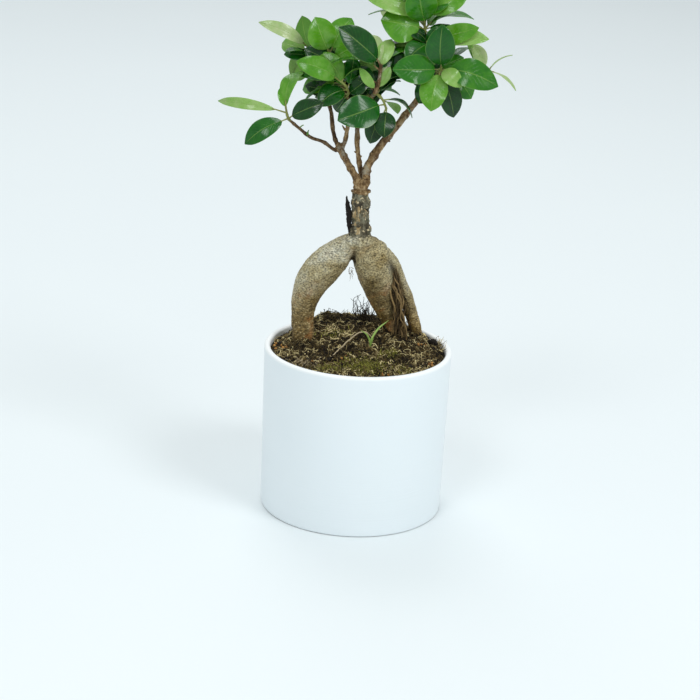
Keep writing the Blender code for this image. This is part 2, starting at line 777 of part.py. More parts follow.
def make_neck(surfaces):
    trunk = add_object("trunk_neck", tube(NECK, 14, 2, domed=False), surfaces["bark"], "tree_lift")
    bore = rod_bore("trunk_rod", *NECK_AXIS, NECK_BOTTOM - 8, TRUNK_ROD_TOP + 1, BORE_RADIUS)
    boolean(trunk, "DIFFERENCE", [bore])
    pin = rod(*NECK_AXIS, TRUNK_ROD_BOTTOM, TRUNK_ROD_TOP, ROD_RADIUS)
    add_object("trunk_rod", pin, surfaces["steel"], "tree_lift")
    collar = rod(-4.5, 0, NECK_TOP + GAP, COLLAR_TOP, COLLAR_RADIUS, 16)
    bmesh.ops.bevel(collar, geom=collar.edges[:], offset=0.8, segments=1, affect="EDGES")
    add_object("graft_collar", collar, surfaces["bark"], "tree_lift")
    socket = rod(-4.5, 0.3, COLLAR_TOP + GAP, SOCKET_TOP - 0.9, SOCKET_RADIUS, 14)
    bmesh.ops.bevel(socket, geom=socket.edges[:], offset=0.7, segments=1, affect="EDGES")
    add_object("fork_socket", socket, surfaces["twig"], "tree_lift")
    add_object("neck_splinter", tube(SPLINTER, 6, 2), surfaces["bark"], "tree_lift")


def lengthened(points, extra):
    """The same route, run straight on past both ends."""
    first, second = Vector(points[0]), Vector(points[1])
    last, before = Vector(points[-1]), Vector(points[-2])
    start = first + (first - second).normalized() * extra
    end = last + (last - before).normalized() * extra
    return [tuple(start), *points, tuple(end)]


def make_branches(surfaces):
    for name, (joint, points) in BRANCHES.items():
        branch = add_object(name, tube(points, 8, 2), surfaces["twig"], joint)
        stubs = []
        for i, (owner, start, end) in enumerate(STUBS):
            if owner == name:
                stub = tube([(*start, 0.7), (*end, 0.5)], 5, 1)
                stubs.append(add_object(f"{name}_stub_{i}", stub, None, joint, True))
        if stubs:
            boolean(branch, "UNION", stubs)
        if name in WIRED_BRANCHES:
            core = [point[:3] for point in points]
            wire = tube([(*point, WIRE_RADIUS) for point in core], 6, 2)
            add_object(f"{name}_wire", wire, surfaces["steel"], joint)
            bore = tube([(*point, WIRE_BORE) for point in lengthened(core, 6)], 6, 2)
            cutter = add_object(f"{name}_bore", bore, None, joint, True)
            boolean(branch, "DIFFERENCE", [cutter])


def make_sprigs(surfaces):
    for name, (joint, stem, leaves) in SPRIGS.items():
        surface = surfaces["twig"] if name == "low_left_twig" else surfaces["leaf"]
        sprig = add_object(name, tube(stem, 6, 2), surface, joint)
        path = smooth_path(stem, 4)
        blades = []
        for i, (place, *shape) in enumerate(leaves):
            blade = leaf(point_along(path, place), *shape)
            blades.append(add_object(f"{name}_leaf_{i}", blade, None, joint, True))
        boolean(sprig, "UNION", blades)


def make_soil_plants(surfaces):
    level = mat_height(*SPROUT[0][:2])
    shoots = [[(x, y, level + rise, r) for x, y, rise, r in blade] for blade in (SPROUT, SPROUT_LEAF)]
    sprout = add_object("grass_sprout", tube(shoots[0], 6, 2), surfaces["sprout"], "tree_lift")
    second = add_object("sprout_leaf", tube(shoots[1], 6, 2), None, "tree_lift", True)
    boolean(sprout, "UNION", [second])
    fibre = [(x, y, mat_height(x, y) + rise, r) for x, y, rise, r in ARCHING_ROOT]
    add_object("arching_root", tube(fibre, 5, 2), surfaces["root"], "tree_lift")
    level = mat_height(*TUFT[0][:2])
    curl = [(x, y, level + rise, r) for x, y, rise, r in TUFT]
    add_object("moss_tuft", tube(curl, 5, 2), surfaces["moss"], "tree_lift")
    add_object("bark_chip", tube(CHIP, 6, 1), surfaces["bark"], "tree_lift")


clear_scene()
SURFACES = make_materials()
EMPTIES = joint_empties()
make_pot(SURFACES["glazed_ceramic"])
make_core(SURFACES)
make_mat(SURFACES["moss"])
make_root(SURFACES)
make_neck(SURFACES)
make_branches(SURFACES)
make_sprigs(SURFACES)
make_soil_plants(SURFACES)
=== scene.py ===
import json
import math

import bmesh
import bpy
import numpy as np
from mathutils import Matrix, Vector, noise

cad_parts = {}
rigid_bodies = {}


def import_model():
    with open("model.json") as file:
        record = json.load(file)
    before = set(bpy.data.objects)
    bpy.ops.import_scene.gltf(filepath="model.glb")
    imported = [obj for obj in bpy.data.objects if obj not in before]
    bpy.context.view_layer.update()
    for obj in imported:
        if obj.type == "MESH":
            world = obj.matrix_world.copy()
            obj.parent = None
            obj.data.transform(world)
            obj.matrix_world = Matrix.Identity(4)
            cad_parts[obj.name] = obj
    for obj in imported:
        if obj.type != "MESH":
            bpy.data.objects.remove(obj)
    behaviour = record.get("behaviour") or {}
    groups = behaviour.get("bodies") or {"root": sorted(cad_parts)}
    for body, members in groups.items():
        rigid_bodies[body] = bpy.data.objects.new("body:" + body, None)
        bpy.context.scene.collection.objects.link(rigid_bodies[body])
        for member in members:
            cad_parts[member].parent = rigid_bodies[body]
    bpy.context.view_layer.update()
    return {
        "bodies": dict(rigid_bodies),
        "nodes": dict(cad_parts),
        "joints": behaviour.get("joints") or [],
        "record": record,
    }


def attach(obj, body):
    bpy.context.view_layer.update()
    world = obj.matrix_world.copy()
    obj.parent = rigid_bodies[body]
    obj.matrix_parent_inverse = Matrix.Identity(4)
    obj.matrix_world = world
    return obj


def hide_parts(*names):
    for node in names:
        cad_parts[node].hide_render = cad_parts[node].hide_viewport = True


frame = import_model()

# Tables of points and sizes are in millimetres, as in the CAD; meshes end in metres.
MM = 0.001
TURN = 2 * math.pi

# The soil bed: its radius at the surface and down its side, and the level of its underside
BED_RADIUS = 65.2
BED_SIDE_RADIUS = 64.6
BED_BOTTOM_Z = 104.5

# The steel wire inside each main branch
WIRE_RADIUS = 0.6

# Where each group's random draws start
LITTER_SEED = 11
SOIL_PIECES_SEED = 5
ROOT_HAIRS_SEED = 23
FIRST_SPRIG_SEED = 100
WANDER_SEED = 1

# Camera: where it stands, and what fixes its aim
LENS_MM = 102.9
SENSOR_WIDTH_MM = 36
CAMERA_ELEVATION = math.radians(19.14)
CAMERA_DISTANCE = 1.498
CAMERA_AIM_Z = 0.12
CAMERA_PAN = math.radians(-0.24)
CAMERA_TILT = math.radians(-0.07)
CAMERA_ROLL = math.radians(3.0)

# Where the upper side of a leaf looks
UP = (0.0, 0.0, 1.0)
FRONT = (0.0, -0.9, 0.45)
BACK = (0.0, 0.9, 0.45)
LEFT = (-0.9, 0.0, 0.45)

# How much darker the bark of the mid-left branch and the low-left twig is
DARK_TWIG = 0.55

# How light a leaf is
DARK = 0.06
DEEP = 0.22
MID = 0.38
BRIGHT = 0.58
FRESH = 0.76
PALE = 0.94

# The root: points with radii down each leg, and the crown they meet in
CROWN = [(-3, 3, 198, 10), (-3, 2.5, 203, 11), (-3, 1.5, 208, 9.2), (-3.2, 0.6, 211.2, 7.2)]
LEFT_LEG = [
    (-5, 3, 204, 9.2),
    (-14, 3, 199, 10.4),
    (-23.5, 4, 190, 12.8),
    (-31, 5, 181, 13.3),
    (-37.5, 7, 170, 12.3),
    (-41, 9, 160, 10.4),
    (-42.4, 10, 148, 8.6),
    (-42, 10, 129, 8.2),
    (-42, 10, 112, 8.8),
]
RIGHT_LEG = [
    (-1, 3, 204, 9.6),
    (5.2, 5, 194, 13.3),
    (8.7, 8, 183, 13.4),
    (11.4, 12, 174, 12.6),
    (15, 18, 160, 10),
    (19.5, 22, 148, 7.9),
    (26, 26, 132, 6.4),
    (30, 27, 112, 6.6),
]
THIN_LEG = [
    (8.5, 6.5, 200, 4.8),
    (16, 8.2, 196.5, 5.0),
    (23.2, 12, 186.5, 4.9),
    (29.3, 17, 172.5, 4.6),
    (34.8, 22.5, 157, 4.9),
    (40, 26, 141, 4.8),
    (44.5, 28, 126, 4.2),
    (46.5, 28, 112, 4.0),
]

# Branches: body, and points with radii
BRANCHES = {
    "left_branch": (
        "left_branch",
        [
            (-7.3, -0.8, 254, 2.8), (-10, -1, 258, 2.6), (-14, -1.2, 264, 2.4),
            (-18, -1.8, 271, 2.4), (-20.5, -2, 276, 2.6),
        ],
    ),
    "centre_left_branch": (
        "left_branch",
        [
            (-19.2, -1.8, 277, 1.7), (-17.6, -1.6, 280.6, 1.5), (-16.2, -2, 291, 1.5),
            (-15.4, 0, 304, 1.4), (-19, 2, 317, 1.3), (-24.6, 2, 331, 1.2),
        ],
    ),
    "mid_left_branch": (
        "mid_left_branch",
        [
            (-22, -0.8, 277.6, 1.6), (-23.8, 0.8, 280.2, 1.6), (-26.4, 3, 287, 1.5),
            (-28, 6, 297, 1.4), (-31, 9, 309, 1.4), (-36, 10, 323, 1.3), (-43, 10, 335, 1.2),
        ],
    ),
    "centre_branch": (
        "centre_branch",
        [
            (-4, 4.0, 251, 2.0), (-4, 4.4, 254, 1.9), (-6, 5, 262, 1.8), (-8, 6, 274, 1.7),
            (-9, 8, 288, 1.7), (-7, 6, 302, 1.6), (-1, 0, 313.6, 1.4),
        ],
    ),
    "right_branch": (
        "right_branch",
        [
            (-0.8, -0.6, 254.4, 3.0), (-0.4, 0.5, 262, 3.0), (4, 3, 271, 2.9), (11, 4, 282, 2.7),
            (20, 6, 294, 2.5), (28, 8, 305, 2.3), (35, 8, 316, 2.1), (42, 6.4, 327, 1.8),
            (46, 4.6, 333.6, 1.6),
        ],
    ),
    "right_top_twig": (
        "right_top_twig",
        [
            (40.2, 8.6, 325, 1.4), (40.5, 11.2, 328, 1.4), (40.4, 14, 338, 1.3),
            (38.4, 14.5, 349, 1.2), (35.8, 13.2, 360, 1.1),
        ],
    ),
}

# Side stubs: branch, start, end, thickness at the start
STUBS = [
    ("centre_left_branch", (-16.4, -2, 288), (-20, -4, 293.5), 0.8),
    ("centre_branch", (-7.5, 5.6, 271), (-10.4, 4, 273), 0.7),
    ("centre_branch", (-7.2, 5.4, 268), (-4.6, 4, 270), 0.8),
    ("right_branch", (3, 2.4, 269), (2.2, 0, 274), 1.0),
    ("right_branch", (12, 4.2, 283), (15.4, 2.4, 282), 0.8),
]

STUB_TAPER = np.array([1.4, 1.15, 1, 1.05, 0.95, 0.85, 0.3])

# Sprigs: body, stem points with radii, and leaves. A leaf is its place along the stem from 0 to 1,
# azimuth and lift of its midrib in degrees, length, width, the side it faces, droop, and tone.
SPRIGS = {
    "low_left_twig": (
        "low_left_twig",
        [
            (-22, -2.4, 275.4, 1.4), (-24.8, -3.6, 275.2, 1.3), (-32, -8, 281, 1.2),
            (-43, -12, 286, 1.2), (-51, -15, 293, 1.1), (-57, -17.6, 298, 1.0),
        ],
        [(0.6, -100, 50, 7, 3, LEFT, 0.1, MID), (0.78, 40, 30, 4, 2, UP, 0.0, FRESH)],
    ),
    "low_left_sprig": (
        "low_left_twig",
        [
            (-57, -17.6, 298, 1.0), (-58.4, -18.3, 300, 1.0), (-59.4, -18.7, 303, 0.9),
            (-60, -19, 306, 0.7),
        ],
        [
            (0.30, -163, -30, 34, 13, FRONT, 0.14, DEEP),
            (0.75, 166, 4, 49, 8, FRONT, 0.20, 0.84),
            (1.00, 125, 60, 16, 8, FRONT, 0.1, BRIGHT),
            (0.90, 60, 52, 31, 12, (-0.55, -0.75, 0.3), 0.24, BRIGHT),
            (0.25, -20, 30, 28, 13, FRONT, 0.12, DARK),
        ],
    ),
    "left_outer_sprig": (
        "mid_left_branch",
        [(-43, 10, 335, 1.1), (-44, 10, 337.4, 1.0), (-45.2, 9.6, 341, 0.9), (-46.6, 9, 345, 0.7)],
        [
            (1.00, -166, 28, 39, 9, FRONT, 0.16, PALE),
            (0.85, 144, 6, 25, 11, FRONT, 0.1, FRESH),
            (0.60, -150, 12, 20, 9, UP, 0.12, DEEP),
            (0.40, 150, -36, 21, 13, BACK, 0.1, BRIGHT),
            (0.92, 112, 50, 26, 14, BACK, 0.12, MID),
        ],
    ),
    "left_top_sprig": (
        "left_branch",
        [
            (-24.6, 2, 331, 1.2), (-26, 2, 333.4, 1.1), (-29, 2, 338, 1.0), (-32, 1, 343, 0.9),
            (-33, 2, 347, 0.7),
        ],
        [
            (0.80, -150, 66, 27, 19, FRONT, 0.12, BRIGHT),
            (1.00, 105, 56, 20, 10, FRONT, 0.1, FRESH),
            (0.78, 44, 49, 30, 15, FRONT, 0.12, BRIGHT),
            (0.70, 98, 30, 26, 15, UP, 0.12, MID),
            (0.45, -168, 26, 22, 14, FRONT, 0.12, DARK),
        ],
    ),
    "left_front_sprig": (
        "left_branch",
        [
            (-17.6, 0, 312.6, 1.1), (-17.4, -1.6, 314, 1.0), (-17, -5, 319, 0.9),
            (-20, -8, 324, 0.9), (-24, -9, 327, 0.7),
        ],
        [
            (0.97, -163, 24, 33, 14, FRONT, 0.2, BRIGHT),
            (1.00, 158, 6, 28, 10, UP, 0.12, DARK),
            (0.85, 150, -16, 33, 13, FRONT, 0.1, BRIGHT),
            (0.70, 172, -24, 30, 11, UP, 0.12, DARK),
            (0.55, -146, -22, 24, 16, FRONT, 0.12, DARK),
            (0.35, 140, -52, 17, 11, FRONT, 0.1, DARK),
            (0.75, 70, 12, 17, 11, UP, 0.1, DEEP),
        ],
    ),
    "hero_sprig": (
        "centre_branch",
        [
            (2.6, -6.4, 318.6, 1.2), (3.4, -7.2, 321.6, 1.0), (5, -7, 330, 0.9),
            (5.4, -7.4, 339, 0.7),
        ],
        [
            (1.00, -152, 40, 42, 19, FRONT, 0.1, DARK),
            (0.96, 124, 42, 27, 15, FRONT, 0.1, PALE),
            (0.85, -168, 10, 34, 11, UP, 0.14, MID),
            (0.24, -160, 52, 20, 7, FRONT, 0.05, FRESH),
            (0.30, 20, 60, 18, 7, FRONT, 0.05, FRESH),
        ],
    ),
    "centre_sprig": (
        "centre_branch",
        [
            (-1, 0, 313.6, 1.3), (-0.6, -1, 315.2, 1.1), (3.4, -7, 318, 1.0), (8, -11, 315, 0.9),
            (11, -12, 309, 0.7),
        ],
        [
            (0.88, -151, -14, 36, 22, FRONT, 0.12, DEEP),
            (1.00, -92, -52, 21, 14, FRONT, 0.1, DARK),
            (0.98, -147, -64, 26, 13, FRONT, 0.1, DARK),
            (0.76, -8, -24, 23, 12, UP, 0.2, DARK),
            (0.50, 40, 22, 22, 10, UP, 0.1, DARK),
            (0.80, 50, -30, 19, 9, UP, 0.1, BRIGHT),
        ],
    ),
    "right_hero_sprig": (
        "right_branch",
        [(46, 4.6, 333.6, 1.5), (47.2, 3.0, 336.2, 1.1), (47.6, 0, 337, 1.0), (48, -4, 337.4, 0.8)],
        [
            (1.00, -95, 70, 34, 19, FRONT, 0.1, DEEP),
            (0.90, -156, 2, 35, 19, FRONT, 0.12, MID),
            (1.00, -43, -22, 21, 11, FRONT, 0.2, FRESH),
            (0.72, -22, -8, 42, 19, FRONT, 0.18, MID),
            (0.96, -108, -56, 30, 18, FRONT, 0.1, BRIGHT),
            (0.65, -12, -70, 34, 15, FRONT, 0.14, DARK),
            (0.50, 169, -62, 28, 13, FRONT, 0.12, DARK),
        ],
    ),
    "right_mid_sprig": (
        "right_top_twig",
        [
            (38.2, 14.2, 344, 1.2), (37.6, 11.9, 346.6, 1.0), (38.4, 10.4, 350, 0.9),
            (38.8, 9.6, 354, 0.7),
        ],
        [
            (0.65, -174, 4, 23, 12, FRONT, 0.12, FRESH),
            (0.45, -178, -18, 24, 16, FRONT, 0.1, DARK),
            (0.96, -132, -24, 24, 15, FRONT, 0.1, DEEP),
            (0.50, -160, -9, 32, 12, UP, 0.14, MID),
            (0.40, -166, -32, 33, 16, FRONT, 0.12, DARK),
            (0.80, -14, 12, 42, 12, FRONT, 0.14, FRESH),
            (1.00, -20, 22, 37, 13, FRONT, 0.12, BRIGHT),
        ],
    ),
    "right_top_sprig": (
        "right_top_twig",
        [
            (35.8, 13.2, 360, 1.1), (35.4, 12.8, 362.2, 1.0), (35.1, 12.4, 366, 0.9),
            (34.8, 12, 371, 0.8),
        ],
        [
            (1.00, -169, 18, 42, 10, FRONT, 0.1, FRESH),
            (0.65, -118, 66, 31, 21, FRONT, 0.1, MID),
            (0.96, 6, 38, 36, 16, FRONT, 0.12, BRIGHT),
            (0.38, -166, 12, 31, 26, FRONT, 0.12, BRIGHT),
            (0.40, 8, 16, 34, 15, UP, 0.16, MID),
            (0.60, -174, 10, 39, 9, UP, 0.16, MID),
            (0.80, 158, 8, 33, 12, FRONT, 0.12, PALE),
            (0.72, 70, 25, 30, 15, UP, 0.14, MID),
        ],
    ),
    "apex_sprig": (
        "right_top_twig",
        [
            (34.8, 12, 371, 0.9), (34.5, 12.4, 373.4, 0.8), (33.6, 13.4, 381, 0.8),
            (33, 14, 388, 0.7),
        ],
        [
            (0.50, -170, 44, 27, 15, FRONT, 0.14, BRIGHT),
            (0.55, 30, 42, 28, 15, FRONT, 0.14, MID),
            (0.65, 110, 38, 29, 16, UP, 0.16, MID),
            (0.85, -70, 52, 24, 14, FRONT, 0.12, BRIGHT),
            (1.00, 160, 62, 23, 12, FRONT, 0.1, FRESH),
            (1.00, -10, 68, 22, 9, FRONT, 0.08, PALE),
        ],
    ),
    "right_outer_sprig": (
        "right_outer_sprig",
        [
            (49, 6.4, 333.6, 1.1), (51.2, 8, 333.5, 1.1), (58, 9.5, 334, 1.0),
            (70, 11.5, 337.5, 0.9), (83, 12, 335.5, 0.7),
        ],
        [
            (0.36, -16, -42, 24, 15, FRONT, 0.14, MID),
            (0.34, 32, 34, 28, 12, UP, 0.2, DEEP),
            (0.85, 158, 66, 25, 4, FRONT, 0.05, FRESH),
            (0.97, 168, 58, 20, 9, FRONT, 0.12, PALE),
            (1.00, -17, -27, 23, 5, UP, 0.1, PALE),
            (1.00, -17, 40, 20, 5, UP, 0.1, PALE),
        ],
    ),
    "left_rear_sprig": (
        "left_branch",
        [(-24.8, 2.6, 329.6, 1.1), (-25.6, 5, 331, 1.0), (-27, 12, 335, 0.9), (-29, 19, 339, 0.7)],
        [
            (0.94, 158, -16, 27, 15, UP, 0.16, MID),
            (0.78, 80, 34, 30, 17, BACK, 0.14, DEEP),
            (1.00, 128, 46, 28, 15, BACK, 0.12, BRIGHT),
            (0.92, 50, 6, 28, 15, UP, 0.16, DARK),
            (0.85, 104, -30, 27, 15, BACK, 0.14, MID),
        ],
    ),
    "centre_rear_sprig": (
        "centre_branch",
        [(-7.2, 6.6, 300, 1.2), (-7.4, 9.4, 302, 1.0), (-5, 17, 309, 0.9), (-2, 23, 315, 0.7)],
        [
            (0.66, 152, 0, 26, 15, UP, 0.16, DEEP),
            (0.86, -50, 50, 24, 15, FRONT, 0.1, DARK),
            (0.74, 10, 6, 24, 13, UP, 0.16, DARK),
            (1.00, 86, 38, 30, 17, BACK, 0.12, MID),
            (1.00, 56, -8, 27, 14, BACK, 0.14, DEEP),
            (0.86, 112, -38, 25, 14, BACK, 0.12, MID),
            (1.00, 118, 62, 24, 13, BACK, 0.1, BRIGHT),
        ],
    ),
    "right_rear_sprig": (
        "right_branch",
        [(35.4, 9, 314.6, 1.2), (36.4, 12, 315.6, 1.0), (41, 19, 321, 0.9), (45, 26, 327, 0.7)],
        [
            (0.58, 60, -26, 27, 14, BACK, 0.14, DEEP),
            (0.72, -6, 2, 28, 15, UP, 0.16, DARK),
            (0.86, 96, 32, 30, 17, BACK, 0.14, MID),
            (1.00, 44, 14, 30, 15, BACK, 0.14, BRIGHT),
            (1.00, 118, -12, 27, 14, UP, 0.14, MID),
            (0.94, 150, 20, 26, 14, UP, 0.14, DARK),
        ],
    ),
}

# Small leaves that fill the crown, by sprig: place on its stem, tip, width, side, droop, tone. The
# many DARK and DEEP ones paint the shade inside the crown.
FILLERS = {
    "left_front_sprig": [
        (0.5, (-46, 4, 334), 13, FRONT, 0.12, DARK),
        (0.7, (-38, -2, 345), 15, FRONT, 0.10, BRIGHT),
        (0.3, (-2, -6, 330), 13, FRONT, 0.12, DARK),
        (0.6, (-14, 2, 343), 14, FRONT, 0.08, DEEP),
        (0.2, (-34, 0, 311), 13, FRONT, 0.10, DARK),
        (0.9, (-8, -4, 336), 11, UP, 0.12, MID),
        (0.1, (-28, 8, 322), 14, FRONT, 0.08, DARK),
        (0.8, (-55, 1, 329), 12, FRONT, 0.14, MID),
        (0.4, (-48, 1, 320), 12, FRONT, 0.12, DARK),
        (0.6, (-40, -5, 334), 12, UP, 0.12, DEEP),
        (0.25, (-41, 4, 312), 11, FRONT, 0.10, DEEP),
        (0.3, (-27, 10, 313), 12, FRONT, 0.10, DARK),
    ],
    "left_top_sprig": [
        (0.5, (-52, 6, 345), 11, UP, 0.12, DARK),
        (0.6, (-12, 6, 350), 14, FRONT, 0.10, BRIGHT),
        (0.2, (-8, 8, 334), 13, BACK, 0.10, DARK),
        (0.1, (-44, 10, 330), 13, FRONT, 0.10, DARK),
        (0.3, (-36, 12, 341), 14, FRONT, 0.10, DARK),
    ],
    "left_outer_sprig": [
        (0.1, (-55, 8, 322), 11, FRONT, 0.10, FRESH),
        (0.5, (-64, 6, 341), 10, FRONT, 0.12, DEEP),
    ],
    "hero_sprig": [
        (0.5, (-14, 3, 333), 12, FRONT, 0.10, DARK),
        (0.9, (12, 4, 356), 12, FRONT, 0.08, FRESH),
        (0.4, (20, 2, 331), 11, UP, 0.12, DARK),
        (0.2, (-18, 8, 324), 12, FRONT, 0.08, DARK),
        (0.7, (6, 10, 348), 12, FRONT, 0.08, PALE),
        (0.6, (8, 12, 352), 14, FRONT, 0.10, DARK),
    ],
    "centre_sprig": [
        (0.3, (-20, 2, 309), 13, FRONT, 0.12, DARK),
        (0.5, (16, 6, 331), 10, FRONT, 0.10, DARK),
        (0.2, (-12, 8, 326), 13, FRONT, 0.08, DARK),
    ],
    "right_mid_sprig": [
        (0.3, (12, 4, 338), 15, FRONT, 0.10, DEEP),
        (0.9, (22, 6, 364), 13, FRONT, 0.10, DARK),
        (0.6, (48, 6, 366), 13, FRONT, 0.10, DEEP),
        (0.7, (10, 6, 352), 11, UP, 0.10, DARK),
        (0.5, (28, 12, 332), 13, FRONT, 0.08, DARK),
        (0.2, (17, 12, 342), 15, FRONT, 0.10, DARK),
        (0.1, (24, 14, 326), 14, FRONT, 0.10, DARK),
        (0.4, (38, 19, 358), 15, FRONT, 0.10, DARK),
        (0.6, (49, 35, 353), 15, BACK, 0.14, DEEP),
    ],
    "right_top_sprig": [
        (0.2, (12, 8, 358), 12, UP, 0.10, MID),
        (0.4, (60, 8, 362), 12, UP, 0.12, DEEP),
        (0.1, (24, 16, 352), 14, FRONT, 0.08, DARK),
        (0.3, (50, 14, 356), 13, FRONT, 0.08, DARK),
        (0.2, (14, 18, 362), 14, FRONT, 0.10, DARK),
        (0.4, (38, 36, 378), 15, BACK, 0.14, BRIGHT),
        (0.6, (19, 31, 367), 14, BACK, 0.14, MID),
    ],
    "right_hero_sprig": [
        (0.3, (64, 4, 346), 12, FRONT, 0.10, MID),
        (0.5, (30, 6, 324), 12, FRONT, 0.12, DARK),
    ],
    "apex_sprig": [
        (0.3, (16, 14, 384), 13, FRONT, 0.10, BRIGHT),
        (0.3, (52, 10, 384), 13, FRONT, 0.10, MID),
        (0.4, (44, 33, 391), 14, BACK, 0.12, BRIGHT),
    ],
    "centre_rear_sprig": [
        (0.5, (14, 14, 329), 14, FRONT, 0.10, DARK),
        (0.3, (6, 12, 321), 13, FRONT, 0.10, DARK),
        (0.6, (-13, 20, 320), 14, FRONT, 0.10, DARK),
        (0.9, (10, 41, 324), 15, BACK, 0.14, BRIGHT),
    ],
    "right_rear_sprig": [
        (0.3, (52, 16, 340), 14, FRONT, 0.10, DARK),
        (0.8, (59, 36, 330), 15, BACK, 0.14, BRIGHT),
        (0.6, (33, 39, 340), 16, BACK, 0.14, MID),
    ],
    "left_rear_sprig": [
        (0.8, (-40, 32, 325), 15, BACK, 0.14, MID),
        (0.5, (-14, 31, 324), 15, BACK, 0.14, DEEP),
    ],
}

# How much thicker a sprig's stem is than the CAD's
STEM_GIRTH = {"hero_sprig": 1.45}


# ---------------------------------------------------------------- node helpers


class Shader:
    """A Principled material and short names for the nodes that feed it."""

    def __init__(self, name, roughness=0.5, metallic=0.0, specular=0.5):
        self.material = bpy.data.materials.new(name)
        self.material.use_nodes = True
        self.tree = self.material.node_tree
        self.bsdf = self.tree.nodes["Principled BSDF"]
        self.bsdf.inputs["Roughness"].default_value = roughness
        self.bsdf.inputs["Metallic"].default_value = metallic
        self.bsdf.inputs["Specular IOR Level"].default_value = specular
        self.coords = self.tree.nodes.new("ShaderNodeTexCoord").outputs["Object"]

    def node(self, kind, **inputs):
        made = self.tree.nodes.new(f"ShaderNode{kind}")
        for name, value in inputs.items():
            socket = made.inputs[name.replace("_", " ")]
            self.feed(socket, value)
        return made

    def feed(self, socket, value):
        if isinstance(value, bpy.types.NodeSocket):
            self.tree.links.new(value, socket)
        else:
            socket.default_value = value

    def noise(self, scale, detail=4.0, rough=0.6, coords=None):
        made = self.node("TexNoise", Scale=scale, Detail=detail, Roughness=rough)
        self.feed(made.inputs["Vector"], coords or self.coords)
        return made.outputs["Fac"]

    def cells(self, scale, coords=None):
        made = self.node("TexVoronoi", Scale=scale)
        self.feed(made.inputs["Vector"], coords or self.coords)
        return made.outputs["Distance"]

    def stretched(self, x, y, z):
        """The object's coordinates, scaled along each axis."""
        made = self.node("Mapping", Vector=self.coords)
        made.inputs["Scale"].default_value = (x, y, z)
        return made.outputs["Vector"]

    def ramp(self, value, *stops):
        """A colour ramp of (position, colour or grey) stops."""
        made = self.node("ValToRGB", Fac=value)
        points = made.color_ramp.elements
        while len(points) < len(stops):
            points.new(0.5)
        for point, (position, colour) in zip(points, stops):
            point.position = position
            grey = isinstance(colour, (int, float))
            point.color = (colour, colour, colour, 1) if grey else (*colour, 1)
        return made.outputs["Color"]

    def mix(self, share, a, b, blend="MIX"):
        made = self.tree.nodes.new("ShaderNodeMix")
        made.data_type = "RGBA"
        made.blend_type = blend
        self.feed(made.inputs[0], share)
        for index, value in ((6, a), (7, b)):
            self.feed(made.inputs[index], (*value, 1) if isinstance(value, tuple) else value)
        return made.outputs[2]

    def math(self, operation, a, b=0.0, clamp=False):
        made = self.tree.nodes.new("ShaderNodeMath")
        made.operation = operation
        made.use_clamp = clamp
        self.feed(made.inputs[0], a)
        self.feed(made.inputs[1], b)
        return made.outputs[0]

    def times(self, a, b):
        return self.math("MULTIPLY", a, b)

    def plus(self, a, b, clamp=False):
        return self.math("ADD", a, b, clamp)

    def minus(self, a, b):
        return self.math("SUBTRACT", a, b)

    def axis(self, name, coords=None):
        made = self.node("SeparateXYZ", Vector=coords or self.coords)
        return made.outputs[name]

    def between(self, value, low, high):
        """value mapped to 0 at low and 1 at high, and kept inside them."""
        made = self.node("MapRange", Value=value, From_Min=low, From_Max=high)
        return made.outputs["Result"]

    def attribute(self, name):
        made = self.tree.nodes.new("ShaderNodeAttribute")
        made.attribute_name = name
        return made.outputs["Fac"]

    def bump(self, height, distance, strength=1.0, normal=None):
        made = self.node("Bump", Height=height, Distance=distance, Strength=strength)
        if normal is not None:
            self.feed(made.inputs["Normal"], normal)
        return made.outputs["Normal"]

    def finish(self, colour, roughness=None, normal=None):
        self.feed(
            self.bsdf.inputs["Base Color"], (*colour, 1) if isinstance(colour, tuple) else colour,
        )
        if roughness is not None:
            self.feed(self.bsdf.inputs["Roughness"], roughness)
        if normal is not None:
            self.feed(self.bsdf.inputs["Normal"], normal)
        return self.material


# ------------------------------------------------------------------- materials


def glaze_material(name, inside):
    """Satin white glaze with the faint rings that turning leaves, a painted highlight on the lip,
    and a whiter inside that is painted light on the shaded inner wall.
    """
    s = Shader(name, 0.36)
    rings = s.noise(1.0, 3, 0.6, s.stretched(14, 14, 900))
    lower = s.between(s.axis("Z"), 0.085, 0.02)
    rings = s.times(rings, lower)
    clouds = s.noise(9, 2)
    tint = s.ramp(clouds, (0.35, (0.790, 0.850, 0.880)), (0.7, (0.805, 0.862, 0.888)))
    tint = s.mix(s.times(rings, 0.12), tint, (0.66, 0.74, 0.78))
    # Painted light: inside, the glaze is mixed 0.9 of the way to near-white against the shade on
    # the inner wall; outside, the band at the lip is lightened as a painted highlight.
    tint = s.mix(
        0.9 if inside else s.between(s.axis("Z"), 0.1225, 0.1245), tint, (0.92, 0.94, 0.94),
    )
    pits = s.bump(s.noise(480, 2), 0.00003, 0.6)
    normal = s.bump(rings, 0.00014, 0.8, pits)
    rough = s.node("MapRange", Value=clouds, To_Min=0.34, To_Max=0.44).outputs["Result"]
    return s.finish(tint, rough, normal)


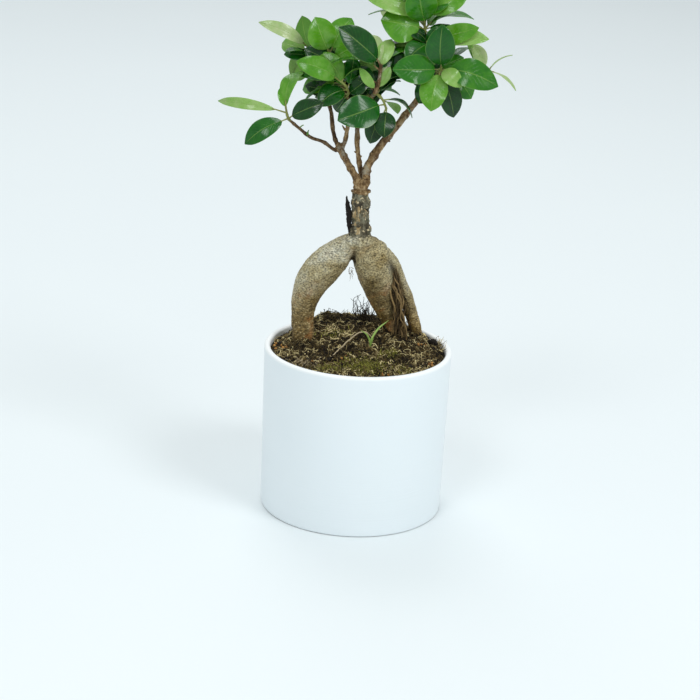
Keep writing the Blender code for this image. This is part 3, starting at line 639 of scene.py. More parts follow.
def root_material():
    """Tan root skin, stippled dark and light, browner below and towards the soil, with painted
    shade on faces that turn downward and where the shade attribute marks it.
    """
    s = Shader("root_skin", 0.7, 0.0, 0.3)
    low = s.between(s.axis("Z"), 0.180, 0.128)
    facing = s.node("SeparateXYZ", Vector=s.tree.nodes.new("ShaderNodeTexCoord").outputs["Normal"])
    # Painted shade: faces that turn downward are pushed towards the brown ramp.
    under = s.between(facing.outputs["Z"], 0.05, -0.65)
    patches = s.noise(38, 5, 0.65)
    tan = (
        (0.34, (0.215, 0.158, 0.062)),
        (0.5, (0.375, 0.320, 0.182)),
        (0.66, (0.49, 0.472, 0.365)),
    )
    brown = (
        (0.3, (0.062, 0.036, 0.010)),
        (0.52, (0.225, 0.142, 0.038)),
        (0.75, (0.47, 0.330, 0.115)),
    )
    share = s.plus(s.times(low, 0.92), s.times(under, 0.55))
    share = s.plus(share, s.minus(s.noise(60, 4), 0.56), clamp=True)
    skin = s.mix(share, s.ramp(patches, *tan), s.ramp(patches, *brown))
    rust = s.ramp(s.noise(75, 3, 0.5), (0.53, 0.0), (0.66, 1.0))
    skin = s.mix(s.times(rust, s.times(share, 0.75)), skin, (0.26, 0.095, 0.020))
    dots = s.ramp(
        s.noise(1.0, 3, 0.62, s.stretched(680, 680, 1050)), (0.36, 0.06), (0.46, 0.40),
        (0.54, 0.56), (0.66, 0.94),
    )
    skin = s.mix(0.80, skin, dots, "OVERLAY")
    specks = s.ramp(s.cells(330, s.stretched(1, 1, 1.9)), (0.16, 1.0), (0.27, 0.0))
    flecked = s.plus(s.times(low, 0.35), 0.45)
    skin = s.mix(s.times(specks, flecked), skin, (0.66, 0.52, 0.26))
    pits = s.ramp(s.cells(360, s.stretched(1, 1, 0.6)), (0.09, 1.0), (0.17, 0.0))
    skin = s.mix(s.times(pits, 0.75), skin, (0.035, 0.022, 0.008))
    # Painted shade from the shade attribute: dark in the crotch crease and in the crevice beside
    # the thin leg, also darker at the feet and speckled dark at the collar.
    skin = s.mix(s.attribute("shade"), skin, (0.018, 0.010, 0.003))
    grain = s.bump(s.noise(900, 3, 0.7), 0.0006, 0.9)
    wrinkles = s.noise(1.0, 4, 0.6, s.stretched(60, 60, 420))
    normal = s.bump(s.times(wrinkles, s.plus(low, 0.25)), 0.0009, 0.7, grain)
    return s.finish(skin, 0.72, normal)


def bark_material():
    """Rough dark bark: grey-green plates with cream and orange-brown where they have flaked."""
    s = Shader("neck_bark", 0.85)
    plates = s.noise(240, 5, 0.7, s.stretched(1, 1, 0.55))
    base = s.ramp(
        plates, (0.32, (0.008, 0.006, 0.003)), (0.47, (0.075, 0.062, 0.034)),
        (0.64, (0.26, 0.245, 0.165)),
    )
    flakes = s.ramp(s.noise(260, 3, 0.6, s.stretched(1, 1, 0.5)), (0.57, 0.0), (0.62, 1.0))
    base = s.mix(s.times(flakes, 0.85), base, (0.42, 0.29, 0.13))
    cream = s.ramp(s.noise(420, 2, 0.5), (0.62, 0.0), (0.67, 1.0))
    base = s.mix(cream, base, (0.66, 0.54, 0.33))
    moss = s.ramp(s.noise(120, 3), (0.56, 0.0), (0.68, 0.7))
    base = s.mix(moss, base, (0.05, 0.065, 0.03))
    cracks = s.cells(420, s.stretched(1, 1, 0.5))
    normal = s.bump(cracks, 0.0009, 0.9, s.bump(plates, 0.0012, 1.0))
    return s.finish(base, 0.88, normal)


def twig_material(name="twig_bark", shade=0.0):
    """Branch bark: streaked tan and dark brown, with pale grey patches and small pores."""
    s = Shader(name, 0.75, 0.0, 0.3)
    streaks = s.noise(330, 5, 0.7, s.stretched(1, 1, 0.6))
    light = (
        (0.33, (0.030, 0.014, 0.005)),
        (0.46, (0.15, 0.085, 0.032)),
        (0.58, (0.31, 0.205, 0.095)),
        (0.74, (0.56, 0.46, 0.30)),
    )
    base = s.ramp(streaks, *light)
    dark = s.ramp(s.noise(75, 3), (0.50, 0.0), (0.64, 0.75))
    base = s.mix(dark, base, (0.060, 0.028, 0.011))
    grey = s.ramp(s.noise(150, 3), (0.56, 0.0), (0.68, 0.6))
    base = s.mix(grey, base, (0.42, 0.38, 0.28))
    base = s.mix(shade, base, (0.050, 0.024, 0.010))
    pores = s.ramp(s.cells(620), (0.10, 1.0), (0.20, 0.0))
    base = s.mix(s.times(pores, 0.6), base, (0.55, 0.42, 0.24))
    normal = s.bump(streaks, 0.0006, 0.9, s.bump(s.noise(1400, 2), 0.0002, 0.8))
    return s.finish(base, 0.78, normal)


def stem_material():
    """Young stems: green-tan, browner in patches."""
    s = Shader("young_stem", 0.55)
    tone = s.noise(90, 3)
    base = s.ramp(
        tone, (0.35, (0.16, 0.15, 0.03)), (0.6, (0.25, 0.30, 0.07)), (0.8, (0.38, 0.26, 0.12)),
    )
    return s.finish(base, 0.5, s.bump(s.noise(900, 3), 0.0002, 0.7))


def leaf_veins(s):
    """Masks for the midrib, the side veins and the margin, from the leaf's own UV."""
    uv = s.tree.nodes.new("ShaderNodeUVMap").outputs["UV"]
    across = s.math("ABSOLUTE", s.minus(s.axis("X", uv), 0.5))
    across = s.times(across, 2.0)
    along = s.axis("Y", uv)
    midrib = s.between(across, 0.055, 0.015)
    phase = s.minus(s.times(along, 11.0), s.times(across, 3.2))
    wave = s.math("ABSOLUTE", s.minus(s.math("FRACT", phase), 0.5))
    side = s.times(s.between(wave, 0.09, 0.0), s.between(across, 0.95, 0.35))
    margin = s.between(across, 0.94, 1.0)
    return midrib, side, margin


def leaf_material(name, under):
    s = Shader(name, 0.5, 0.0, 0.2 if under else 0.36)
    tone = s.attribute("tone")
    flecks = s.noise(160, 4)
    tone = s.plus(tone, s.times(s.minus(flecks, 0.5), 0.32), clamp=True)
    top = (
        (0.0, (0.001, 0.030, 0.002)),
        (0.22, (0.004, 0.088, 0.004)),
        (0.40, (0.020, 0.150, 0.004)),
        (0.60, (0.078, 0.265, 0.009)),
        (0.80, (0.225, 0.410, 0.085)),
        (1.0, (0.400, 0.480, 0.235)),
    )
    pale = (
        (0.0, (0.020, 0.110, 0.016)),
        (0.5, (0.110, 0.270, 0.035)),
        (1.0, (0.430, 0.550, 0.230)),
    )
    base = s.ramp(tone, *(pale if under else top))
    midrib, side, margin = leaf_veins(s)
    light = s.mix(0.45, base, (0.36, 0.55, 0.12))
    base = s.mix(s.times(side, 0.10), base, light)
    base = s.mix(s.times(midrib, 0.62), base, light)
    base = s.mix(s.times(margin, 0.55), base, light)
    height = s.plus(s.times(side, 0.35), s.times(midrib, 1.0))
    sign = 1.0 if under else -1.0
    veins = s.bump(s.times(height, sign), 0.00022, 0.8)
    normal = s.bump(s.noise(240, 2), 0.0001, 0.16, veins)
    low, high = (0.42, 0.62) if under else (0.11, 0.25)
    rough = s.node("MapRange", Value=flecks, To_Min=low, To_Max=high).outputs["Result"]
    return s.finish(base, rough, normal)


def soil_material():
    """Dark peat under a felt of fibres, with moss where the mat's green attribute says."""
    s = Shader("peat", 0.95, 0.0, 0.2)
    crumbs = s.noise(420, 5, 0.75)
    peat = (
        (0.34, (0.005, 0.003, 0.001)),
        (0.52, (0.035, 0.023, 0.009)),
        (0.64, (0.12, 0.085, 0.035)),
        (0.78, (0.30, 0.23, 0.10)),
    )
    base = s.ramp(crumbs, *peat)
    green = s.ramp(s.noise(300, 3), (0.35, (0.025, 0.022, 0.004)), (0.65, (0.14, 0.13, 0.022)))
    base = s.mix(s.attribute("green"), base, green)
    normal = s.bump(crumbs, 0.0022, 1.0)
    return s.finish(base, 0.95, normal)


def fibre_material(name, dark, light, roughness=0.8):
    s = Shader(name, roughness, 0.0, 0.3)
    base = s.ramp(s.attribute("tone"), (0.0, dark), (1.0, light))
    base = s.mix(0.35, base, s.ramp(s.noise(900, 2), (0.3, 0.15), (0.7, 0.85)), "OVERLAY")
    return s.finish(base, roughness, s.bump(s.noise(1500, 2), 0.0001, 0.6))


def foam_material():
    s = Shader("open_foam", 0.95, 0.0, 0.2)
    pores = s.cells(900)
    base = s.ramp(pores, (0.1, (0.02, 0.035, 0.012)), (0.5, (0.09, 0.14, 0.055)))
    return s.finish(base, 0.95, s.bump(pores, 0.0009, 1.0))


def cement_material():
    s = Shader("cast_cement", 0.9, 0.0, 0.3)
    grain = s.noise(300, 5, 0.7)
    base = s.ramp(grain, (0.3, (0.25, 0.24, 0.22)), (0.7, (0.48, 0.47, 0.44)))
    return s.finish(base, 0.9, s.bump(grain, 0.0006, 0.8))


def steel_material():
    s = Shader("drawn_steel", 0.35, 1.0)
    lines = s.noise(1.0, 4, 0.6, s.stretched(2500, 2500, 60))
    base = s.ramp(lines, (0.3, (0.42, 0.42, 0.43)), (0.7, (0.62, 0.62, 0.63)))
    return s.finish(base, s.between(lines, -0.4, 1.6), s.bump(lines, 0.00005, 0.5))


def floor_material():
    s = Shader("pale_floor", 0.6, 0.0, 0.3)
    base = s.ramp(s.noise(1.2, 2), (0.3, (0.80, 0.845, 0.86)), (0.7, (0.815, 0.86, 0.872)))
    return s.finish(base, 0.6)


# -------------------------------------------------------------- mesh building


def join_rings(bm, rings):
    """Side faces between rings of vertices. A ring of one vertex is a pole."""
    for low, high in zip(rings, rings[1:]):
        count = max(len(low), len(high))
        for i in range(count):
            j = (i + 1) % count
            if len(low) == 1:
                bm.faces.new((low[0], high[j], high[i]))
            elif len(high) == 1:
                bm.faces.new((low[i], low[j], high[0]))
            else:
                bm.faces.new((low[i], low[j], high[j], high[i]))


def smooth_path(points, per_span):
    """Catmull-Rom points, with radii as the fourth value, through the given ones."""
    knots = [Vector(p) for p in points]
    ends = [2 * knots[0] - knots[1], *knots, 2 * knots[-1] - knots[-2]]
    path = []
    for i in range(1, len(ends) - 2):
        a, b, c, d = ends[i - 1 : i + 3]
        for step in range(per_span):
            t = step / per_span
            bend = (2 * a - 5 * b + 4 * c - d) * t * t + (3 * b - 3 * c + d - a) * t**3
            path.append((2 * b + (c - a) * t + bend) / 2)
    path.append(knots[-1])
    return path


def centre_line(path):
    """The path's points without their radii, as an array."""
    return np.array([tuple(p.to_3d()) for p in path])


def section_frames(path):
    """(point, side, up, along) at each point of a path, with as little turning as possible."""
    centres = [p.to_3d() for p in path]
    frames = []
    side = None
    for i, centre in enumerate(centres):
        along = (centres[min(i + 1, len(centres) - 1)] - centres[max(i - 1, 0)]).normalized()
        if side is None:
            aside = Vector((0, 1, 0)) if abs(along.y) < 0.9 else Vector((1, 0, 0))
            side = along.cross(aside)
        side = (side - along * side.dot(along)).normalized()
        frames.append((centre, side, along.cross(side), along))
    return frames


def add_tube(bm, points, sides, per_span, dome=0.8):
    """A tapering round bar with domed ends, added to bm."""
    path = smooth_path(points, per_span)
    frames = section_frames(path)
    angles = [TURN * i / sides for i in range(sides)]

    def ring(frame, radius, shift=0.0):
        centre, side, up, along = frame
        middle = centre + along * shift
        return [
            bm.verts.new(middle + (side * math.cos(a) + up * math.sin(a)) * radius)
            for a in angles
        ]

    rings = [ring(f, p.w) for f, p in zip(frames, path)]
    for turn in (0.5, 1.0):
        cut, push = math.cos(turn * 1.35), math.sin(turn * 1.35) * dome
        rings.insert(0, ring(frames[0], path[0].w * cut, -path[0].w * push))
        rings.append(ring(frames[-1], path[-1].w * cut, path[-1].w * push))
    join_rings(bm, rings)
    bm.faces.new(rings[0])
    bm.faces.new(rings[-1])


def fractal(point, size, octaves):
    """Noise from about -1 to 1, whose largest lumps are size millimetres wide."""
    return noise.fractal(point / size, 1.0, 2.0, octaves)


def displace(bm, lumps):
    """Moves each vertex along its normal by the sum of (size, height) lumps of noise."""
    bm.normal_update()
    moves = []
    for vertex in bm.verts:
        moves.append(sum(height * fractal(vertex.co, size, 3) for size, height in lumps))
    for vertex, move in zip(bm.verts, moves):
        vertex.co += vertex.normal * move


def settle(name, mesh, materials, body, replaced):
    """The mesh as a smooth piece on a body, standing for the CAD nodes it replaces."""
    for material in materials:
        mesh.materials.append(material)
    mesh.shade_smooth()
    obj = bpy.data.objects.new(name, mesh)
    bpy.context.scene.collection.objects.link(obj)
    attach(obj, body)
    if replaced:
        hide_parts(*replaced)
    return obj


def finish_object(name, bm, materials, body, replaced=()):
    """The bmesh, in millimetres, as a piece on a body."""
    bmesh.ops.recalc_face_normals(bm, faces=bm.faces)
    mesh = bpy.data.meshes.new(name)
    bmesh.ops.scale(bm, vec=(MM, MM, MM), verts=bm.verts)
    bm.to_mesh(mesh)
    bm.free()
    return settle(name, mesh, materials, body, replaced)


def remeshed(bm, voxel):
    """The overlapping solids of bm as one skin of evenly sized quads."""
    mesh = bpy.data.meshes.new("skin")
    bm.to_mesh(mesh)
    bm.free()
    helper = bpy.data.objects.new("skin", mesh)
    bpy.context.scene.collection.objects.link(helper)
    modifier = helper.modifiers.new("Remesh", "REMESH")
    modifier.mode = "VOXEL"
    modifier.voxel_size = voxel
    graph = bpy.context.evaluated_depsgraph_get()
    made = bmesh.new()
    made.from_mesh(helper.evaluated_get(graph).to_mesh())
    bpy.data.objects.remove(helper)
    bpy.data.meshes.remove(mesh)
    return made


def relax(bm, rounds):
    axes = {"use_axis_x": True, "use_axis_y": True, "use_axis_z": True}
    for _ in range(rounds):
        bmesh.ops.smooth_vert(bm, verts=bm.verts, factor=0.5, **axes)


class Shape:
    """Quads with a tone, a UV and a material number, gathered before one mesh is made of them."""

    def __init__(self):
        self.count = 0
        self.points = []
        self.faces = []
        self.tones = []
        self.uvs = []
        self.kinds = []

    def add(self, points, faces, tones, uvs, kind):
        self.points.append(points)
        self.faces.append(faces + self.count)
        self.tones.append(np.broadcast_to(tones, len(points)))
        self.uvs.append(uvs)
        self.kinds.append(np.full(len(faces), kind))
        self.count += len(points)

    def to_object(self, name, materials, body, replaced=(), crease=None):
        points = np.concatenate(self.points) * MM
        faces = np.concatenate(self.faces)
        mesh = bpy.data.meshes.new(name)
        mesh.vertices.add(len(points))
        mesh.vertices.foreach_set("co", points.ravel())
        mesh.loops.add(faces.size)
        mesh.loops.foreach_set("vertex_index", faces.ravel())
        mesh.polygons.add(len(faces))
        mesh.polygons.foreach_set("loop_start", np.arange(len(faces)) * 4)
        mesh.polygons.foreach_set("material_index", np.concatenate(self.kinds))
        mesh.update(calc_edges=True)
        layer = mesh.uv_layers.new(name="UVMap")
        layer.data.foreach_set("uv", np.concatenate(self.uvs)[faces.ravel()].ravel())
        tone = mesh.attributes.new("tone", "FLOAT", "POINT")
        tone.data.foreach_set("value", np.concatenate(self.tones))
        obj = settle(name, mesh, materials, body, replaced)
        if crease:
            mesh.set_sharp_from_angle(angle=math.radians(crease))
        return obj


SKEW = np.array([0.31, 0.52, 0.79])


def add_strands(shape, paths, radii, sides, tones, kind=0):
    """Round strands: paths is (strand, point, xyz), radii (strand, point), one tone for each."""
    paths = np.asarray(paths, float)
    count, length = paths.shape[:2]
    along = np.gradient(paths, axis=1)
    along /= np.linalg.norm(along, axis=2, keepdims=True) + 1e-9
    side = np.cross(along, SKEW)
    side /= np.linalg.norm(side, axis=2, keepdims=True) + 1e-9
    up = np.cross(along, side)
    turn = (np.arange(sides) * 2 * math.pi / sides)[:, None]
    rings = side[:, :, None] * np.cos(turn) + up[:, :, None] * np.sin(turn)
    points = paths[:, :, None] + rings * np.asarray(radii, float)[:, :, None, None]
    index = np.arange(count * length * sides).reshape(count, length, sides)
    near, far = index[:, :-1], index[:, 1:]
    faces = np.stack([near, np.roll(near, -1, 2), np.roll(far, -1, 2), far], -1).reshape(-1, 4)
    tones = np.repeat(np.asarray(tones, float), length * sides)
    shape.add(points.reshape(-1, 3), faces, tones, np.zeros((points.size // 3, 2)), kind)


def add_strand(shape, path, radii, sides, tone, kind=0):
    add_strands(shape, [path], [radii], sides, [tone], kind)


def stem_strand(points, per_span, swell, seed):
    """Dense points and radii along a stem, wandering a little and swollen at its buds."""
    path = smooth_path(points, per_span)
    steps = np.arange(len(path))
    radii = np.array([p.w for p in path])
    spacing = per_span * 1.3
    buds = np.exp(-(((steps + seed) % spacing) - spacing / 2) ** 2 / 2.2)
    centres = centre_line(path)
    wander = np.array(
        [tuple(noise.noise_vector(Vector(p) / 7 + Vector((seed, 0, 0)))) for p in centres]
    )
    rough = np.array([noise.noise(Vector(p) / 2.5) for p in centres])
    return centres + wander * 0.35, radii * (1 + swell * buds + 0.10 * rough)


def smoothstep(value, low, high):
    t = np.clip((value - low) / (high - low), 0, 1)
    return t * t * (3 - 2 * t)


def add_leaf(shape, base, azimuth, lift, length, width, faces_to, droop, tone, rng, loose=0.09):
    """A petiole and a folded, arched, slightly wavy blade. Materials: 0 top, 1 under, 2 stem."""
    rows, cols = 17, 11
    petiole = 0.14
    a, e = math.radians(azimuth), math.radians(lift)
    along = np.array((math.cos(a) * math.cos(e), math.sin(a) * math.cos(e), math.sin(e)))
    faces_to = np.array(faces_to) + rng.normal(0, loose, 3)
    normal = faces_to - along * np.dot(faces_to, along)
    normal /= np.linalg.norm(normal)
    side = np.cross(along, normal)
    t = np.linspace(0, 1, rows)
    s = petiole + (1 - petiole) * t
    half = 0.5 * width * np.sin(math.pi * t**1.02) ** 0.58 * (1 - 0.22 * smoothstep(t, 0.86, 1))
    half = np.maximum(half, 0.30)
    u = np.linspace(-1, 1, cols)
    fold = 0.16 * rng.uniform(0.7, 1.7)
    curl = rng.uniform(0.01, 0.06) * length * t**3
    sway = rng.uniform(-0.045, 0.045) * length * np.sin(math.pi * t)
    twist = math.radians(rng.uniform(-14, 14)) * t
    rise = 4 * droop * length * s * (1 - s) - curl
    centre = base + np.outer(s * length, along) + np.outer(rise, normal) + np.outer(sway, side)
    across = np.outer(np.cos(twist), side) + np.outer(np.sin(twist), normal)
    upward = np.outer(np.cos(twist), normal) - np.outer(np.sin(twist), side)
    lateral = np.outer(half, u)
    phase = rng.uniform(0, 6.3, 2)
    waves = np.sin(np.outer(t * rng.uniform(9, 15), np.ones(cols)) + np.where(u < 0, *phase))
    ripple = waves * (u**2) * width * rng.uniform(0.008, 0.035)
    wavy = ripple * np.sin(math.pi * t)[:, None]
    lifted = fold * np.abs(lateral) * (1.15 - 0.4 * np.abs(u)) + wavy
    quilt = 0.012 * width * np.abs(np.sin(11 * math.pi * t[:, None] - 10 * np.abs(u)))
    lifted = lifted + quilt * (np.abs(u) * (1 - np.abs(u)) * 4)
    blade = centre[:, None] + across[:, None] * lateral[..., None]
    blade = blade + upward[:, None] * lifted[..., None]
    thick = (0.20 + 0.18 * np.exp(-((u / 0.12) ** 2))) * np.where(np.abs(u) > 0.99, 0.5, 1.0)
    shift = upward[:, None] * thick[None, :, None]
    uvs = np.stack(np.meshgrid((u + 1) / 2, t), -1).reshape(-1, 2)
    points = np.concatenate([(blade + shift).reshape(-1, 3), (blade - shift).reshape(-1, 3)])
    index = np.arange(rows * cols).reshape(rows, cols)
    top = np.stack(
        [index[:-1, :-1], index[1:, :-1], index[1:, 1:], index[:-1, 1:]], -1,
    ).reshape(-1, 4)
    under = top[:, ::-1] + rows * cols
    rim = np.concatenate([index[0, :], index[1:, -1], index[-1, -2::-1], index[-2:0:-1, 0]])
    after = np.roll(rim, -1)
    edge = np.stack([rim, after, after + rows * cols, rim + rows * cols], -1)
    tones = tone + rng.uniform(-0.05, 0.05) + 0.05 * (1 - t)
    tones = np.tile(np.repeat(tones, cols), 2)
    first = shape.count
    both = np.concatenate([uvs, uvs])
    shape.add(points, np.concatenate([top, edge]), tones, both, 0)
    shape.faces.append(under + first)
    shape.kinds.append(np.full(len(under), 1))
    stalk = []
    for k in range(6):
        reach = along * length * petiole * k / 4
        stalk.append(base + reach + normal * 4 * droop * length * (petiole * k / 4))
    add_strand(shape, stalk, [0.75, 0.62, 0.55, 0.5, 0.45, 0.3], 7, min(tone + 0.2, 1), 2)


def add_lumps(bm, lumps):
    """Rounded lumps of (centre, half-sizes), added to bm."""
    for centre, size in lumps:
        lump(bm, centre, size)


def lump(bm, centre, size):
    """A rounded lump of the given half-sizes."""
    scale = Matrix.Diagonal((*size, 1))
    place = Matrix.Translation(centre) @ scale
    bmesh.ops.create_icosphere(bm, subdivisions=3, radius=1, matrix=place)


def lathe(profile, segments):
    """A profile of (radius, z) points turned about the Z axis."""
    bm = bmesh.new()
    rings = []
    turns = [TURN * i / segments for i in range(segments)]
    for radius, z in profile:
        if radius == 0:
            rings.append([bm.verts.new((0, 0, z))])
        else:
            rings.append(
                [bm.verts.new((radius * math.cos(a), radius * math.sin(a), z)) for a in turns]
            )
    join_rings(bm, rings)
    return bm


def arc(centre_r, centre_z, radius, start, end, steps):
    """Profile points on an arc, with angles in degrees."""
    turns = [math.radians(start + (end - start) * i / steps) for i in range(steps + 1)]
    return [(centre_r + radius * math.cos(a), centre_z + radius * math.sin(a)) for a in turns]


def between_points(start, end, steps):
    """Profile points strictly between two others."""
    return [
        (start[0] + (end[0] - start[0]) * k / steps, start[1] + (end[1] - start[1]) * k / steps)
        for k in range(1, steps)
    ]


# -------------------------------------------------------------------- the pot


def make_pot():
    """The pot, turned with a rounded lip, glazed all over but for its unglazed foot."""
    foot = arc(67.1, 1.5, 1.5, -90, 0, 6)
    lip = arc(68.1, 123.4, 1.9, 0, 90, 7) + arc(67.5, 123.4, 1.9, 90, 180, 7)
    floor_edge = arc(61.6, 10, 4, 0, -90, 6)
    profile = [(0, 0.5), (40, 0.5), (60, 0.5), (62, 0), *foot]
    profile += between_points(foot[-1], lip[0], 24)
    profile += lip + between_points(lip[-1], floor_edge[0], 12) + floor_edge
    profile += [(40, 6), (0, 6)]
    bm = lathe(profile, 192)
    for face in bm.faces:
        centre = face.calc_center_median()
        face.material_index = 1 if centre.z < 0.52 else 2 if centre.xy.length < 66.5 else 0
    glazes = [
        glaze_material("white_glaze", False), cement_material(),
        glaze_material("inner_glaze_painted_light", True),
    ]
    finish_object("pot_body", bm, glazes, "pot", ["pot"])


# -------------------------------------------------- what lies inside the pot


def make_core():
    """The rough cement ballast and the foam above it."""
    under = [(0, 6.3), (30, 6.3), (58, 6.3), (61, 7.5), (63, 11), (63, 14)]
    over = [(63, 17), (62.4, 19.4), (60.5, 20.3), (40, 20.3), (20, 20.3), (0, 20.3)]
    bm = lathe(under + over, 120)
    for vertex in bm.verts:
        dent = 0.3 * abs(fractal(vertex.co, 9, 3))
        if vertex.co.z > 15:
            vertex.co.z -= dent
        elif vertex.co.z < 9:
            vertex.co.z += dent
    finish_object("ballast", bm, [cement_material()], "planting", ["ballast_disc"])
    wall = [(62.6, 20.8 + 83 * k / 40) for k in range(41)]
    core = [(0, 20.6), (30, 20.6), (61, 20.6), *wall, (60, 104), (40, 104), (20, 104), (0, 104)]
    bm = lathe(core, 160)
    for vertex in bm.verts:
        cut = 0.5 * abs(fractal(vertex.co, 3, 3)) + 0.5 * abs(fractal(vertex.co, 14, 2))
        out = Vector((vertex.co.x, vertex.co.y, 0))
        if out.length > 50:
            vertex.co -= out.normalized() * cut
    finish_object("foam", bm, [foam_material()], "planting", ["foam_core"])


def make_rods():
    """The anchor rods under the root and in the neck, and the wires in the main branches."""
    steel = steel_material()
    rods = {
        "left_anchor_rod": (-42, 10, 45, 134, 1.5),
        "right_anchor_rod": (29.6, 27, 45, 124, 1.5),
        "thin_anchor_rod": (46.5, 28, 45, 119, 0.9),
        "trunk_rod": (-3.2, 0.6, 187, 237, 1.5),
    }
    for name, (x, y, bottom, top, radius) in rods.items():
        bm = bmesh.new()
        add_tube(bm, [(x, y, bottom + 0.8, radius), (x, y, top - 0.8, radius)], 24, 30, 0.6)
        finish_object(f"{name}_bar", bm, [steel], "planting", [name])
    for name, first in (("left_branch", 0), ("centre_branch", 1), ("right_branch", 0)):
        body, points = BRANCHES[name]
        bm = bmesh.new()
        add_tube(bm, [(x, y, z, WIRE_RADIUS) for x, y, z, _ in points[first:]], 12, 6, 0.3)
        finish_object(f"{name}_core_wire", bm, [steel], body, [f"{name}_wire"])


# ------------------------------------------------------------------- the soil


def mat_height(x, y):
    """The mat's own level, without its crumbs: a mound behind the middle that dips to the rim."""
    mound = 13 * np.exp(-((x - 2) ** 2 + (y - 34) ** 2) / (2 * 34**2))
    return float(120.8 + mound * smoothstep(65 - np.hypot(x, y), 0, 14))


def crumb_height(x, y):
    """Lumps of soil over the mat: higher round the feet of the legs."""
    point = Vector((x, y, 0))
    rough = 1.4 * noise.noise(point / 11) + 1.9 * noise.noise(point / 4.5)
    rough += 0.8 * noise.noise(point / 1.8)
    for px, py, reach in ((-42, 10, 13), (28, 26.5, 12), (45.5, 28, 7)):
        rough += 1.8 * math.exp(-((math.hypot(x - px, y - py) / reach) ** 4))
    rough += 5.0 * math.exp(-(((x + 30) / 17) ** 2) - ((y - 44) / 13) ** 2)
    return rough * float(smoothstep(65.4 - math.hypot(x, y), 0, 6))


def soil_height(x, y):
    return mat_height(x, y) + crumb_height(x, y)


# Moss on the mat: x, y, its reach along each, and how green it is
MOSS_SPOTS = [
    (5, -38, 12, 10, 0.9),
    (-20, -46, 9, 6, 0.55),
    (24, -16, 7, 6, 0.45),
    (34, -40, 10, 6, 0.3),
    (-20, 10, 8, 6, 0.2),
]


def moss_share(x, y):
    spots = [
        g * math.exp(-(((x - px) / w) ** 2) - ((y - py) / h) ** 2)
        for px, py, w, h, g in MOSS_SPOTS
    ]
    return min(max(spots) * (1 + 0.6 * noise.noise(Vector((x, y, 5)) / 3.5)), 1.0)


def make_soil():
    """The mat as a rough bed, under felted fibres, crumbs and moss."""
    rings, segments = 88, 300
    bm = bmesh.new()
    green = bm.verts.layers.float.new("green")
    rows = [[bm.verts.new((0, 0, soil_height(0, 0)))]]
    for k in range(1, rings + 1):
        radius = BED_RADIUS * k / rings
        row = []
        for i in range(segments):
            a = TURN * i / segments
            x, y = radius * math.cos(a), radius * math.sin(a)
            vertex = bm.verts.new((x, y, soil_height(x, y)))
            vertex[green] = moss_share(x, y)
            row.append(vertex)
        rows.append(row)
    for z in (119, 116, 113, 110, 107, BED_BOTTOM_Z):
        row = []
        for i in range(segments):
            a = TURN * i / segments
            radius = BED_SIDE_RADIUS + 0.5 * noise.noise(Vector((9 * a, z / 3, 0)))
            row.append(bm.verts.new((radius * math.cos(a), radius * math.sin(a), z)))
        rows.append(row)
    rows.append([bm.verts.new((0, 0, BED_BOTTOM_Z))])
    join_rings(bm, rows)
    finish_object("soil_bed", bm, [soil_material()], "planting", ["moss_mat"])


def surface_level(points):
    """The soil's level under each (x, y) of an array of points."""
    levels = [soil_height(x, y) for x, y in points.reshape(-1, 2)]
    return np.array(levels).reshape(points.shape[:-1])


def fibre_paths(rng, count, length, height, spread=62.0, steps=8):
    """Curling fibres that lie on the soil and arch off it."""
    radius = spread * np.sqrt(rng.uniform(0, 1, count))
    angle = rng.uniform(0, TURN, count)
    heading = rng.uniform(0, TURN, count)
    reach = rng.uniform(*length, count)
    bend = rng.normal(0, 2.4, count)
    ripple = rng.uniform(-1.2, 1.2, (count, steps))
    place = np.stack([radius * np.cos(angle), radius * np.sin(angle)], -1)
    flat = [place]
    for k in range(1, steps):
        turn = heading + bend * k / steps + ripple[:, k] * 0.7
        step = np.stack([np.cos(turn), np.sin(turn)], -1) * (reach / steps)[:, None]
        flat.append(flat[-1] + step)
    flat = np.stack(flat, 1)
    far = np.hypot(flat[..., 0], flat[..., 1])
    flat *= np.minimum(1, 64.2 / np.maximum(far, 1e-6))[..., None]
    t = np.linspace(0, 1, steps)
    arch = np.sin(math.pi * t) * rng.uniform(*height, count)[:, None]
    wobble = rng.normal(0, 0.35, (count, steps))
    z = surface_level(flat) - 0.2 + arch + wobble
    return np.concatenate([flat, z[..., None]], -1)


def patchy(rng, paths, low, high, power):
    """Tones that are darker in some places of the soil than in others."""
    tones = rng.uniform(low, high, len(paths)) ** power
    places = [noise.noise(Vector((x, y, 9.0)) / 6.5) for x, y in paths[:, 0, :2]]
    return np.clip(tones * np.clip(0.75 + 1.6 * np.array(places), 0.08, 1.5), 0, 1)


def taper(count, steps, thick, rng):
    """Radii that thin towards both ends of a strand."""
    t = np.linspace(0, 1, steps)
    shape = 0.35 + 0.65 * np.sin(math.pi * (0.08 + 0.86 * t))
    return rng.uniform(*thick, count)[:, None] * shape


